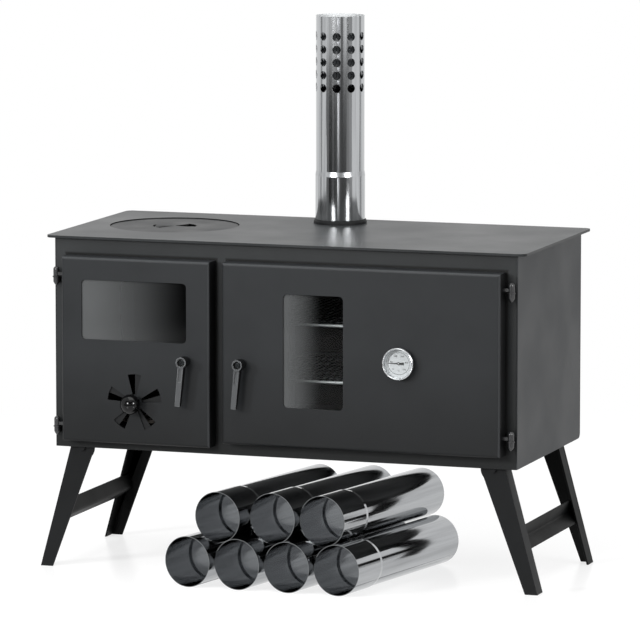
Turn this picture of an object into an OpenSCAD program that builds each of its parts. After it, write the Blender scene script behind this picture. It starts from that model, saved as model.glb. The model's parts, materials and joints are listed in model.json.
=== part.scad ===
// Tent wood stove with an oven: sheet-steel body on folding legs, two glazed pan doors, a cooking
// lid, a perforated spark-arrestor chimney and seven spare chimney sections stacked underneath.
// Millimetres. +X to the right, +Y to the back, +Z up. The origin is on the floor, at the middle of
// the box that holds everything that stands on it.

/* [Body] */
// Width over the side sheets
body_width = 784; // [740:1:840]
// Depth from the front frame to the back sheet
body_depth = 357; // [345:1:400]
// Height of the body without its top plate
body_height = 342; // [330:1:380]
// Floor to the lower edge of the body
leg_height = 201; // [190:1:230]
// Thickness of the body sheets
shell_t = 2; // [1.5:0.1:3]
// How far the body sheets hang below the bottom sheet
skirt_height = 22; // [21.5:0.5:28]
// Radius of the side sheets' lower back corner
side_corner_r = 9; // [5:1:14]

/* [Top plate] */
// Thickness of the cooking plate
plate_t = 4; // [2.5:0.1:5]
// Overhang past each side sheet
plate_side_overhang = 14; // [8:1:20]
// Overhang past the front frame
plate_front_overhang = 8; // [4:1:14]
// Overhang past the back sheet
plate_back_overhang = 13; // [6:1:20]
// Radius of the plate's corners
plate_corner_r = 12; // [6:1:20]

/* [Cooking lid] */
// Left side of the body to the centre of the cooking hole
lid_inset = 135; // [130:1:142]
// Centre of the cooking hole from the middle of the body, along Y
lid_y = 16; // [0:1:30]
// Radius of the lid
lid_r = 105; // [95:1:110]
// Thickness of the lid
lid_t = 2.5; // [2:0.1:4]
// How far the lid lies below the plate's face
lid_recess = 1.5; // [0.5:0.1:2]
// Gap round the lid
lid_gap = 1.5; // [1:0.1:2.5]
// Width of the ledge that the lid lies on
lid_ledge = 9; // [6:1:14]
// Width of the rim that fixes the support ring under the plate
ring_rim = 11; // [8:1:16]
// Radius of the lifting cut
lift_cut_r = 36; // [26:1:40]
// Opening angle of each half of the lifting cut
lift_cut_angle = 74; // [60:1:84]
// Turn of the lifting cut away from the stove's width
lift_cut_turn = 30; // [0:1:60]
// Angle of the pressed tab in each half of the cut
lift_tab_angle = 32; // [20:1:40]
// How far each pressed tab slopes down
lift_tab_slope = 6; // [3:1:14]

/* [Chimney] */
// Flue axis from the middle of the body, along X
flue_x = -9; // [-20:1:10]
// Back of the body to the flue axis
flue_inset = 45.5; // [44.5:0.5:68]
// Outer radius of a chimney section
pipe_r = 40; // [37:0.5:42]
// Wall of a chimney section
pipe_wall = 0.8; // [0.6:0.1:1.5]
// Radial clearance of a socket over the next section
socket_clearance = 0.3; // [0.2:0.05:0.4]
// Length of the widened socket
socket_len = 72; // [55:1:90]
// Length of the shoulder between socket and pipe
shoulder_len = 8; // [5:1:14]
// Overall length of a section
section_len = 336; // [320:1:340]
// Height of the spigot above the top plate
spigot_height = 68; // [50:1:70]
// Height of the ring round the spigot
collar_height = 7; // [4:0.5:10]
// Radius of the ring round the spigot
collar_r = 43.8; // [43:0.1:46]
// Rows of spark-arrestor holes
hole_rows = 5; // [3:1:6]
// Holes in a row
hole_columns = 10; // [8:2:12]
// Radius of a spark-arrestor hole
hole_r = 7; // [5:0.5:8]
// Distance between rows
hole_row_pitch = 21.2; // [17:0.1:24]
// Top edge of the pipe to the middle of the first row
hole_top_margin = 33; // [26:1:40]
// Turn of the first column away from the front
hole_turn = 9.5; // [0:0.5:35]

/* [Spare sections] */
// Sections in the lower row of the stack
lower_count = 4; // [4:1:4]
// Turn of the stack away from the stove's depth
stack_turn = 10.7; // [6:0.1:11]
// How far the stack's mouths stand ahead of the body
stack_ahead = 107; // [90:1:120]
// Middle of the lower row's mouths, along X
stack_x = -2.6; // [-20:0.1:-2]
// Gap between neighbouring sections
stack_gap = 0.4; // [0.3:0.1:1]
// How far each upper section is set back from the lower row
upper_setback = [17, 34, 34];

/* [Doors] */
// Side of the body to the middle of the centre post: the width of the firebox part
firebox_width = 287; // [277:1:297]
// Gap between the two doors
door_spacing = 21.5; // [18:0.5:26]
// Side of the body to the firebox door
firebox_side_margin = 22; // [20:0.5:26]
// Side of the body to the oven door
oven_side_margin = 20; // [15:0.5:24]
// Top of the body to both doors
door_top_margin = 27; // [20:0.5:34]
// Lower edge of the body to the firebox door
firebox_bottom_margin = 14; // [8:0.5:20]
// Lower edge of the body to the oven door
oven_bottom_margin = 22; // [16:0.5:30]
// Depth of the door pans
door_depth = 30; // [26:1:34]
// Sheet of the door pans
door_t = 2; // [1.5:0.1:2.5]
// Radius of the pans' folded edges
door_edge_r = 4.5; // [3.5:0.5:6]
// Gap between a shut door and the front frame
door_gap = 0.5; // [0.3:0.1:1]
// How far the doors lap over their openings at the top and bottom
door_lap = 13; // [10:0.5:16]
// Width of the rope seal
seal_width = 9; // [7:0.5:10]
// Depth of the rope seal
seal_depth = 9; // [6:0.5:12]
// Width of the metal post between the two door openings
post_width = 42; // [38:1:46]

/* [Windows] */
// Width of the firebox window
firebox_window_width = 180; // [160:1:186]
// Height of the firebox window
firebox_window_height = 97; // [80:1:104]
// Width of the oven window
oven_window_width = 101; // [80:1:104]
// Height of the oven window
oven_window_height = 183; // [160:1:188]
// Radius of the windows' corners
window_corner_r = 7; // [4:0.5:12]
// Firebox window from the door's hinge edge
firebox_window_inset = 35; // [26:1:38]
// Firebox window below the door's top edge
firebox_window_drop = 36; // [28:1:44]
// Oven window from the door's latch edge
oven_window_inset = 104; // [98:1:116]
// Oven window below the door's top edge
oven_window_drop = 46; // [36:1:52]
// Thickness of the glass
glass_t = 4; // [3:0.5:5]
// How far the glass reaches past the window
glass_lap = 12; // [9:1:13]
// Thickness of the strips that hold the glass
glass_clip_t = 2; // [1.5:0.1:3]

/* [Air damper] */
// Damper axis from the firebox door's hinge edge
damper_inset = 126; // [110:1:130]
// Damper axis above the firebox door's lower edge
damper_rise = 68; // [62:1:76]
// Air slots
vent_slots = 5; // [4:1:6]
// Angle of one slot
vent_slot_angle = 29; // [22:1:32]
// Outer radius of the slots
vent_outer_r = 46.5; // [38:0.5:48]
// Inner radius of the slots
vent_inner_r = 13; // [11:0.5:16]
// Thickness of the damper disc
damper_t = 1.5; // [1:0.1:2.5]
// Rim of the disc past the slots
damper_rim = 5; // [3:0.5:6]
// Turn of the disc at rest away from fully open
damper_rest_turn = 14; // [8:1:20]
// Radius of the ball knob
knob_r = 16.5; // [13:0.5:19]
// Middle of the ball knob ahead of the door
knob_reach = 20; // [18:0.5:26]
// Radius of the damper's stud
stud_r = 4; // [3:0.5:5]

/* [Latches] */
// Firebox latch axis from its door's latch edge
firebox_latch_inset = 40; // [36:1:44]
// Oven latch axis from its door's latch edge
oven_latch_inset = 34; // [32:1:40]
// Lower edge of the firebox window to the latch axes
latch_drop = 28; // [20:1:60]
// Radius of the lever's hub
hub_r = 8.7; // [7.5:0.1:10]
// Length of the lever from its axis
lever_len = 72; // [66:1:84]
// Lean of the hanging lever
lever_lean = 6; // [0:0.5:12]
// Width of the lever at its hub
lever_width = 9.6; // [8:0.2:12]
// Width of the lever at its tip
lever_tip_width = 8.2; // [6:0.2:9]
// Front of the lever ahead of the door
lever_reach = 24; // [22:0.5:30]
// Radius of the latch spindle
spindle_r = 4; // [3:0.5:5]
// Length of the welded boss in front of the door
boss_len = 7; // [5:0.5:9]
// How far a latched tongue reaches behind the post
tongue_lap = 13; // [9:0.5:14]
// Width of the latch tongue
tongue_width = 13; // [11:0.5:16]
// Thickness of the latch tongue
tongue_t = 3; // [2:0.5:4]

/* [Thermometer] */
// Thermometer axis from the oven door's hinge edge
dial_inset = 166; // [150:1:184]
// Thermometer axis above the lower edge of the body
dial_rise = 167; // [155:1:180]
// Outer radius of the bezel
dial_r = 26; // [22:0.5:30]
// Depth of the case
dial_depth = 11; // [9:0.5:14]
// Width of the bezel's rim
bezel_rim = 2.6; // [2:0.1:3.5]
// Length of the probe inside the oven
probe_len = 46; // [30:1:60]

/* [Hinges] */
// Hinge axis from the side of the body
hinge_inset = 7; // [6.6:0.1:8]
// Hinge axis ahead of the front frame
hinge_reach = 12; // [11:0.5:14]
// Radius of the hinge barrels
barrel_r = 5.2; // [4.5:0.1:5.6]
// Radius of the hinge pins
hinge_pin_r = 2.5; // [2:0.1:3]
// Height of each barrel
barrel_height = 10.5; // [8:0.5:12]
// Height of the washer between the barrels
washer_t = 1.6; // [1:0.1:2.5]
// Radius of the washer between the barrels
washer_r = 6.4; // [6:0.1:6.5]
// Lower edge of the body to each hinge's washer: firebox low and high, oven low and high
hinge_heights = [34, 279, 46, 283];

/* [Oven] */
// Sheet of the oven liner
liner_t = 1.5; // [1:0.1:2]
// Liner's left wall from the oven opening
liner_left_gap = 16; // [13:1:18]
// Liner's right wall from the oven opening
liner_right_gap = 2; // [1:0.5:4]
// Liner's back wall from the back sheet
liner_back_gap = 10; // [6:1:16]
// Upper rack's wires above the lower edge of the body
upper_rack_rise = 214; // [200:1:225]
// Lower rack's wires above the lower edge of the body
lower_rack_rise = 122; // [105:1:130]
// Radius of the rack frames' rod
rack_rod_r = 2.5; // [2:0.1:3]
// Radius of the rack wires
rack_wire_r = 1.2; // [1:0.1:1.6]
// Wires in each rack, from front to back
rack_wires = 36; // [24:1:40]
// Stays in each rack, from side to side
rack_stays = 5; // [3:1:7]
// Side play of a rack in the oven opening
rack_side_play = 3; // [1:0.5:5]
// Rack's front rod behind the front frame
rack_setback = 24; // [22:0.5:30]
// Rack's back rod to the liner's back wall
rack_back_gap = 6; // [3:0.5:12]
// Width of the runners' ledge under the rack
runner_ledge = 12; // [9:0.5:14]
// Height of the runners
runner_height = 14; // [10:1:18]
// Sheet of the runners
runner_t = 1.5; // [1.2:0.1:2.5]

/* [Grate] */
// Grate's underside above the bottom sheet
grate_rise = 20; // [14:1:26]
// Thickness of the grate
grate_t = 5; // [4:0.5:8]
// Play round the grate
grate_play = 2; // [1:0.5:4]
// Width of the grate's slots
grate_slot_w = 11; // [8:0.5:13]
// Grate slots from side to side
grate_slot_columns = 13; // [9:1:13]
// Grate slots from front to back
grate_slot_rows = 3; // [2:1:4]
// Width of the rim and of the bars between the rows
grate_rim = 14; // [10:1:20]
// Width of the rails under the grate
rail_width = 18; // [12:1:22]
// Sheet of the rails
rail_t = 2.5; // [2:0.1:3.5]

/* [Legs] */
// Leg pivot from the side of the body
pivot_inset = 42.5; // [40:0.5:46]
// Leg pivot below the lower edge of the body
pivot_drop = 2; // [1:0.5:3]
// Width of a leg at its pivot
leg_top_width = 41.4; // [36:0.2:42]
// Width of a leg at the floor
foot_width = 21; // [15:0.5:24]
// How far a foot stands out past its side sheet
foot_reach = 32; // [26:1:33]
// Sheet of the legs
leg_t = 3; // [2:0.1:3.5]
// Width of a leg's side flange
leg_flange = 30; // [24:1:34]
// Face of the front legs behind the front frame
leg_inset = 8.5; // [8:0.5:10]
// Face of the rear legs ahead of the back sheet
rear_leg_inset = 27; // [20:0.5:32]
// Top of the crossbars above the floor
crossbar_rise = 106; // [98:1:118]
// Height of the crossbars
crossbar_height = 38; // [34:1:42]
// Top of the crossbars down to their fold
crossbar_fold_drop = 23; // [18:0.5:26]
// Fold of the crossbars from the side of the body
crossbar_inset = 9; // [7:0.5:13]
// Radius along the middle of the fold
crossbar_fold_r = 5; // [3.5:0.5:7]
// Sheet of the crossbars
crossbar_t = 2.5; // [2:0.1:3.5]
// Radius of the pivot bolts
bolt_r = 3; // [2.5:0.1:4]
// Radius of the pivot bolts' heads
bolt_head_r = 5.6; // [5:0.1:6.5]
// Height of the pivot bolts' heads
bolt_head_t = 3.6; // [3:0.1:4]
// Thickness of the leg brackets
bracket_t = 3; // [2:0.1:4]
// Radius of the bracket round the bolt
bracket_r = 13; // [10:0.5:14]

/* [Fits] */
// Radial clearance of pins and shafts that turn
running_fit = 0.06; // [0.02:0.01:0.1]
// Gap between faces that slide past each other
face_gap = 0.3; // [0.2:0.05:0.5]

/* [Hidden] */

$fn = 64;
tiny = 0.01;

// Body box
half_w = body_width / 2;
post_x = -half_w + firebox_width;
lid_x = -half_w + lid_inset;
body_y = (stack_ahead - plate_back_overhang) / 2;
front_y = body_y - body_depth / 2;
back_y = body_y + body_depth / 2;
body_z0 = leg_height;
body_z1 = leg_height + body_height;
bottom_z = body_z0 + skirt_height;
floor_z = bottom_z + shell_t;
plate_z = body_z1 + plate_t;

// Doors and their openings, as [low x, high x, low z, high z]
door_z1 = body_z1 - door_top_margin;
firebox_door_box = [-half_w + firebox_side_margin, post_x - door_spacing / 2,
                    body_z0 + firebox_bottom_margin, door_z1];
oven_door_box = [post_x + door_spacing / 2, half_w - oven_side_margin,
                 body_z0 + oven_bottom_margin, door_z1];
firebox_opening = [firebox_door_box[0] + door_lap, post_x - post_width / 2,
                   firebox_door_box[2] + door_lap, door_z1 - door_lap];
oven_opening = [post_x + post_width / 2, oven_door_box[1] - door_lap,
                oven_door_box[2] + door_lap, door_z1 - door_lap];
door_y = front_y - door_depth;
door_inner_y = door_y + door_t;
door_back_y = front_y - door_gap;

// Windows, as [low x, high x, low z, high z]
firebox_window = [firebox_door_box[0] + firebox_window_inset,
                  firebox_door_box[0] + firebox_window_inset + firebox_window_width,
                  door_z1 - firebox_window_drop - firebox_window_height, door_z1 - firebox_window_drop];
oven_window = [oven_door_box[0] + oven_window_inset,
               oven_door_box[0] + oven_window_inset + oven_window_width,
               door_z1 - oven_window_drop - oven_window_height, door_z1 - oven_window_drop];
glass_y = door_inner_y;
clip_w = 8;
clip_screw_r = 2;

// Damper, latches and thermometer
damper_x = firebox_door_box[0] + damper_inset;
damper_z = firebox_door_box[2] + damper_rise;
damper_r = vent_outer_r + damper_rim;
knob_neck_r = stud_r + 2.5;
latch_z = firebox_window[2] - latch_drop;
firebox_latch_x = firebox_door_box[1] - firebox_latch_inset;
oven_latch_x = oven_door_box[0] + oven_latch_inset;
firebox_tongue_len = firebox_opening[1] - firebox_latch_x + tongue_lap;
oven_tongue_len = oven_latch_x - oven_opening[0] + tongue_lap;
boss_r = spindle_r + 4;
tongue_y = front_y + shell_t + 2 * face_gap;
dial_x = oven_door_box[1] - dial_inset;
dial_z = body_z0 + dial_rise;
dial_standoff = 3;
dial_floor_t = 2;
dial_face_z = dial_standoff + dial_floor_t;
dial_neck_r = 5;
dial_neck_len = 7;
dial_nut_t = 5;
probe_r = 3;
dial_face_t = 0.8;
dial_glass_t = 1.2;
needle_t = 0.6;
needle_pin_r = 1;

// Oven liner
liner_x0 = oven_opening[0] - liner_left_gap;
liner_x1 = oven_opening[1] + liner_right_gap;
liner_z0 = oven_opening[2];
liner_z1 = oven_opening[3];
liner_y0 = front_y + shell_t;
liner_y1 = back_y - shell_t - liner_back_gap;
rack_x0 = oven_opening[0] + rack_side_play;
rack_x1 = oven_opening[1] - rack_side_play;
rack_y0 = front_y + rack_setback;
rack_y1 = liner_y1 - rack_back_gap;

// Grate
grate_z = floor_z + grate_rise;
grate_x0 = -half_w + shell_t + grate_play;
grate_x1 = liner_x0 - liner_t - grate_play;
grate_y0 = front_y + shell_t + tongue_t + 4 * face_gap + grate_play;
grate_y1 = back_y - shell_t - grate_play;

// Flue
flue_pos_y = back_y - flue_inset;
socket_inner_r = pipe_r + socket_clearance;
socket_outer_r = socket_inner_r + pipe_wall;
chimney_z = plate_z + collar_height;

// Stack of spare sections
stack_mouth_y = front_y - stack_ahead + socket_outer_r * sin(stack_turn);
stack_pitch = 2 * socket_outer_r + stack_gap;
stack_step_x = stack_pitch / cos(stack_turn);
upper_z = socket_outer_r + sqrt(stack_pitch * stack_pitch * 3 / 4);

// Legs: outline in the plane of the front flange, for the right-hand side
pivot_x = half_w - pivot_inset;
pivot_z = body_z0 - pivot_drop;
leg_top_out = pivot_x + leg_top_width / 2;
leg_top_in = pivot_x - leg_top_width / 2;
foot_out = half_w + foot_reach;
foot_in = foot_out - foot_width;
leg_lean = atan((foot_out - leg_top_out) / pivot_z);
leg_wall_x = leg_t / cos(leg_lean);
flange_top_z = pivot_z - 1;
stop_z = flange_top_z + face_gap;

// ---------------------------------------------------------------- helpers

// An outline in X and Z, given thickness t from y towards the back
module plate_xz(y, t) {
  translate([0, y + t, 0]) rotate([90, 0, 0]) linear_extrude(t) children();
}

// A block given by its low and high corners
module block(low, high) {
  translate(low) cube(high - low);
}

// A rectangle with four round corners, from its low to its high corner
module rounded_rect(x0, y0, x1, y1, r) {
  translate([x0 + r, y0]) square([x1 - x0 - 2 * r, y1 - y0]);
  translate([x0, y0 + r]) square([x1 - x0, y1 - y0 - 2 * r]);
  for (x = [x0 + r, x1 - r], y = [y0 + r, y1 - r]) translate([x, y]) circle(r);
}

// A rectangle of width w and depth d whose two front corners are round
module front_rounded(w, d, r) {
  translate([r, 0]) square([w - 2 * r, d]);
  translate([0, r]) square([w, d - r]);
  for (x = [r, w - r]) translate([x, r]) circle(r);
}

// A block with its four front edges rounded: width w, height h, depth d
module pan_block(w, h, d, r) {
  intersection() {
    linear_extrude(h) front_rounded(w, d, r);
    translate([w, 0, 0]) rotate([0, -90, 0]) linear_extrude(w) front_rounded(h, d, r);
  }
}

// A sector of a ring, its middle pointing along +Y, between two radii
module ring_sector(r0, r1, angle) {
  intersection() {
    difference() {
      circle(r1);
      circle(r0);
    }
    polygon([[0, 0], 2 * r1 * [-sin(angle / 2), cos(angle / 2)], 2 * r1 * [sin(angle / 2), cos(angle / 2)]]);
  }
}

// An axis through a door: local +Z points out of the door's face, local Y is up
module on_door(x, z) {
  translate([x, door_y, z]) rotate([90, 0, 0]) children();
}

// ---------------------------------------------------------------- body

module front_frame() {
  color("#3a3c3e") plate_xz(front_y, shell_t) difference() {
    translate([-half_w + shell_t, body_z0]) square([body_width - 2 * shell_t, body_height]);
    for (o = [firebox_opening, oven_opening]) rounded_rect(o[0], o[2], o[1], o[3], window_corner_r);
  }
}

// Side sheet with a round lower back corner, its inner face at x = 0, thickness towards +X
module side_sheet() {
  r = side_corner_r;
  rotate([90, 0, 90]) linear_extrude(shell_t) {
    translate([front_y, body_z0]) square([body_depth - r, body_height]);
    translate([front_y, body_z0 + r]) square([body_depth, body_height - r]);
    translate([back_y - r, body_z0 + r]) circle(r);
  }
}

module left_panel() {
  color("#4c4e50") translate([-half_w, 0, 0]) side_sheet();
}

module right_panel() {
  color("#555758") translate([half_w - shell_t, 0, 0]) side_sheet();
}

module back_panel() {
  color("#444648") block([-half_w + shell_t, back_y - shell_t, body_z0 + side_corner_r],
                         [half_w - shell_t, back_y, body_z1]);
}

module bottom_panel() {
  color("#38393b") block([-half_w + shell_t, front_y + shell_t, bottom_z],
                         [half_w - shell_t, back_y - shell_t, floor_z]);
}

module top_plate() {
  hole_clearance = 0.2;
  color("#7a7c7d") translate([0, 0, body_z1]) linear_extrude(plate_t) difference() {
    rounded_rect(-half_w - plate_side_overhang, front_y - plate_front_overhang,
                 half_w + plate_side_overhang, back_y + plate_back_overhang, plate_corner_r);
    translate([lid_x, body_y + lid_y]) circle(lid_r + lid_gap);
    translate([flue_x, flue_pos_y]) circle(collar_r + hole_clearance);
  }
}

// ---------------------------------------------------------------- cooking hole

lid_z0 = plate_z - lid_recess - lid_t;
ledge_t = 2.5;

// Pressed ring: a rim under the plate and a lower ledge for the lid
module lid_ring() {
  hole = lid_r + lid_gap;
  ledge_z = lid_z0 - face_gap;
  color("#2e2f30") translate([lid_x, body_y + lid_y, 0]) rotate_extrude($fn = 128)
    polygon([[hole - lid_ledge, ledge_z], [hole, ledge_z], [hole, body_z1], [hole + ring_rim, body_z1],
             [hole + ring_rim, body_z1 - ledge_t], [hole + ledge_t, body_z1 - ledge_t],
             [hole + ledge_t, ledge_z - ledge_t], [hole - lid_ledge, ledge_z - ledge_t]]);
}

// One half of the bow-tie lifting cut, pointing along +X
module lift_sector(r, angle) {
  rotate(-90) ring_sector(2, r, angle);
}

module lift_cut(r) {
  lift_sector(r, lift_cut_angle);
  rotate(180) lift_sector(r, lift_cut_angle);
}

// A tab that stays joined along the near edge of its half and slopes down from it
module lift_tab() {
  half = lift_cut_angle / 2;
  tab_t = 1.2;
  rotate(-half) rotate([-lift_tab_slope, 0, 0]) translate([0, 0, lid_t - tab_t]) linear_extrude(tab_t)
    rotate(lift_tab_angle / 2 - 2) lift_sector(lift_cut_r - 3, lift_tab_angle + 4);
}

module cook_lid() {
  color("#747678") translate([lid_x, body_y + lid_y, lid_z0]) rotate(lift_cut_turn) {
    difference() {
      cylinder(h = lid_t, r = lid_r, $fn = 128);
      translate([0, 0, -1]) linear_extrude(lid_t + 2) lift_cut(lift_cut_r);
    }
    for (turn = [0, 180]) rotate(turn) lift_tab();
  }
}

// ---------------------------------------------------------------- chimney

// Black ring and open spigot that the first section slides over
module flue_collar() {
  color("#242526") translate([flue_x, flue_pos_y, 0]) rotate_extrude($fn = 96)
    polygon([[pipe_r - pipe_wall, body_z1], [collar_r, body_z1], [collar_r, plate_z + collar_height * 0.55],
             [collar_r - 1.4, chimney_z], [pipe_r, chimney_z],
             [pipe_r, plate_z + spigot_height], [pipe_r - pipe_wall, plate_z + spigot_height]]);
}

// A chimney section standing on its socket, its mouth at z = 0
module pipe_section() {
  rotate_extrude($fn = 96)
    polygon([[socket_inner_r, 0], [socket_outer_r, 0], [socket_outer_r, socket_len],
             [pipe_r, socket_len + shoulder_len], [pipe_r, section_len],
             [pipe_r - pipe_wall, section_len], [pipe_r - pipe_wall, socket_len + shoulder_len],
             [socket_inner_r, socket_len]]);
}

module chimney_pipe() {
  color("#b9bbbc") translate([flue_x, flue_pos_y, chimney_z + face_gap]) difference() {
    pipe_section();
    for (row = [0 : hole_rows - 1], column = [0 : hole_columns - 1])
      translate([0, 0, section_len - hole_top_margin - row * hole_row_pitch])
        rotate([0, 0, hole_turn + column * 360 / hole_columns]) rotate([90, 0, 0])
          translate([0, 0, pipe_r - 5]) cylinder(h = 10, r = hole_r, $fn = 32);
  }
}

// ---------------------------------------------------------------- grate

module firebox_grate() {
  span_x = (grate_x1 - grate_x0 - 2 * grate_rim) / grate_slot_columns;
  span_y = (grate_y1 - grate_y0 - grate_rim) / grate_slot_rows;
  color("#4b4642") difference() {
    block([grate_x0, grate_y0, grate_z], [grate_x1, grate_y1, grate_z + grate_t]);
    for (column = [0 : grate_slot_columns - 1], row = [0 : grate_slot_rows - 1])
      translate([grate_x0 + grate_rim + (column + 0.5) * span_x - grate_slot_w / 2,
                 grate_y0 + grate_rim + row * span_y, grate_z - 1])
        cube([grate_slot_w, span_y - grate_rim, grate_t + 2]);
  }
}

// Angle rails on the side sheet and on the liner's left wall
module grate_rails() {
  y0 = grate_y0;
  y1 = grate_y1;
  wall_x0 = -half_w + shell_t;
  wall_x1 = liner_x0 - liner_t;
  color("#3a3a3a") {
    block([wall_x0, y0, grate_z - rail_t], [wall_x0 + rail_width, y1, grate_z]);
    block([wall_x0, y0, floor_z], [wall_x0 + rail_t, y1, grate_z - rail_t]);
    block([wall_x1 - rail_width, y0, grate_z - rail_t], [wall_x1, y1, grate_z]);
    block([wall_x1 - rail_t, y0, floor_z], [wall_x1, y1, grate_z - rail_t]);
  }
}

// ---------------------------------------------------------------- oven liner

module oven_left_wall() {
  color("#6a6c6e") block([liner_x0 - liner_t, liner_y0, floor_z], [liner_x0, liner_y1 + liner_t, liner_z1]);
}

module oven_right_wall() {
  color("#6a6c6e") block([liner_x1, liner_y0, liner_z0 - liner_t],
                         [liner_x1 + liner_t, liner_y1 + liner_t, liner_z1]);
}

module oven_floor() {
  color("#6a6c6e") block([liner_x0, liner_y0, liner_z0 - liner_t], [liner_x1, liner_y1, liner_z0]);
}

module oven_roof() {
  color("#6a6c6e") block([liner_x0 - liner_t, liner_y0, liner_z1],
                         [liner_x1 + liner_t, back_y - shell_t, liner_z1 + liner_t]);
}

module oven_back() {
  color("#6a6c6e") block([liner_x0, liner_y1, liner_z0 - liner_t], [liner_x1, liner_y1 + liner_t, liner_z1]);
}

// Top face of the runners under a rack whose rod's middle is at rise
function runner_z(rise) = body_z0 + rise - rack_rod_r - face_gap;

module rack_runners() {
  color("#707274") for (rise = [upper_rack_rise, lower_rack_rise]) {
    z = runner_z(rise);
    block([liner_x0, rack_y0, z - runner_t], [rack_x0 + runner_ledge, rack_y1, z]);
    block([liner_x0, rack_y0, z], [liner_x0 + runner_t, rack_y1, z + runner_height]);
    block([rack_x1 - runner_ledge, rack_y0, z - runner_t], [liner_x1, rack_y1, z]);
    block([liner_x1 - runner_t, rack_y0, z], [liner_x1, rack_y1, z + runner_height]);
  }
}

// A rod of radius r between two points that share two coordinates
module rod_x(x0, x1, y, z, r) {
  translate([x0, y, z]) rotate([0, 90, 0]) cylinder(h = x1 - x0, r = r, $fn = 20);
}

module rod_y(y0, y1, x, z, r) {
  translate([x, y1, z]) rotate([90, 0, 0]) cylinder(h = y1 - y0, r = r, $fn = 20);
}

// Wire rack: a rod frame with round corners, wires from front to back and stays welded under them
module oven_rack(rise) {
  corner = 12;
  z = body_z0 + rise;
  x0 = rack_x0 + rack_rod_r;
  x1 = rack_x1 - rack_rod_r;
  y0 = rack_y0 + rack_rod_r;
  y1 = rack_y1 - rack_rod_r;
  pitch = (x1 - x0) / (rack_wires + 1);
  rod_x(x0 + corner, x1 - corner, y0, z, rack_rod_r);
  rod_x(x0 + corner, x1 - corner, y1, z, rack_rod_r);
  rod_y(y0 + corner, y1 - corner, x0, z, rack_rod_r);
  rod_y(y0 + corner, y1 - corner, x1, z, rack_rod_r);
  for (c = [[x0, y0, 180], [x1, y0, 270], [x1, y1, 0], [x0, y1, 90]])
    translate([c[0], c[1], z]) translate([c[0] == x0 ? corner : -corner, c[1] == y0 ? corner : -corner])
      rotate(c[2]) rotate_extrude(angle = 90, $fn = 48) translate([corner, 0]) circle(rack_rod_r, $fn = 20);
  for (i = [1 : rack_wires]) rod_y(y0, y1, x0 + i * pitch, z, rack_wire_r);
  for (i = [1 : rack_stays]) rod_x(x0, x1, y0 + i * (y1 - y0) / (rack_stays + 1), z - 0.9 * rack_wire_r, rack_wire_r);
}

module upper_rack() {
  color("#c9cbcc") oven_rack(upper_rack_rise);
}

module lower_rack() {
  color("#c9cbcc") oven_rack(lower_rack_rise);
}

// ---------------------------------------------------------------- doors

// Folded pan that is open at the back, with a round-cornered window and a welded latch boss
module door_pan(box, window, latch_x) {
  w = box[1] - box[0];
  h = box[3] - box[2];
  d = door_back_y - door_y;
  difference() {
    union() {
      difference() {
        translate([box[0], door_y, box[2]]) pan_block(w, h, d, door_edge_r);
        translate([box[0] + door_t, door_inner_y, box[2] + door_t])
          pan_block(w - 2 * door_t, h - 2 * door_t, d, door_edge_r - door_t);
      }
      on_door(latch_x, latch_z) translate([0, 0, -door_depth / 2]) cylinder(h = door_depth / 2 + boss_len, r = boss_r);
    }
    plate_xz(door_y - 1, door_t + 2) rounded_rect(window[0], window[2], window[1], window[3], window_corner_r);
    on_door(latch_x, latch_z) translate([0, 0, -door_depth]) cylinder(h = 2 * door_depth, r = spindle_r + running_fit);
  }
}

// Glass pane behind a window
module window_glass(window) {
  plate_xz(glass_y, glass_t) translate([window[0] - glass_lap, window[2] - glass_lap])
    square([window[1] - window[0] + 2 * glass_lap, window[3] - window[2] + 2 * glass_lap]);
}

// Two strips over the ends of the glass, each screwed to two studs on the pan
module glass_clips(window, upright) {
  reach = glass_lap + clip_w;
  back = glass_y + glass_t;
  w = window[1] - window[0];
  h = window[3] - window[2];
  length = upright ? w : h;
  stud_at = length / 2 - 12;
  for (side = [-1, 1]) {
    x = upright ? (window[0] + window[1]) / 2 : (side < 0 ? window[0] : window[1]);
    z = upright ? (side < 0 ? window[2] : window[3]) : (window[2] + window[3]) / 2;
    translate([x, 0, z]) rotate([0, upright ? 90 : 0, 0]) {
      out = upright ? -side : side;
      plate_xz(back, glass_clip_t)
        translate([out < 0 ? -reach - clip_w : 3, -length / 2]) square([reach + clip_w - 3, length]);
      for (end = [-1, 1]) translate([out * (glass_lap + clip_w), 0, end * stud_at]) rotate([-90, 0, 0]) {
        translate([0, 0, door_inner_y]) cylinder(h = glass_t, r = clip_screw_r + 1.5, $fn = 24);
        translate([0, 0, back + glass_clip_t]) cylinder(h = 2.2, r = clip_screw_r + 2, $fn = 24);
      }
    }
  }
}

// Rope seal round the inside of a pan, bearing on the front frame
module door_seal(box) {
  plate_xz(door_back_y - seal_depth, seal_depth) difference() {
    translate([box[0] + door_t, box[2] + door_t]) square([box[1] - box[0] - 2 * door_t, box[3] - box[2] - 2 * door_t]);
    translate([box[0] + door_t + seal_width, box[2] + door_t + seal_width])
      square([box[1] - box[0] - 2 * (door_t + seal_width), box[3] - box[2] - 2 * (door_t + seal_width)]);
  }
}

// Outline of the air slots
module vent_outline() {
  for (i = [0 : vent_slots - 1]) rotate(i * 360 / vent_slots) ring_sector(vent_inner_r, vent_outer_r, vent_slot_angle);
}

module firebox_door() {
  color("#353739") difference() {
    door_pan(firebox_door_box, firebox_window, firebox_latch_x);
    on_door(damper_x, damper_z) translate([0, 0, -door_t - 1]) linear_extrude(door_t + 2) {
      vent_outline();
      circle(stud_r + running_fit);
    }
  }
}

module firebox_glass() {
  color("#22252680") window_glass(firebox_window);
}

module firebox_glass_clips() {
  color("#55585a") glass_clips(firebox_window, false);
}

module firebox_seal() {
  color("#8b8679") door_seal(firebox_door_box);
}

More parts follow.
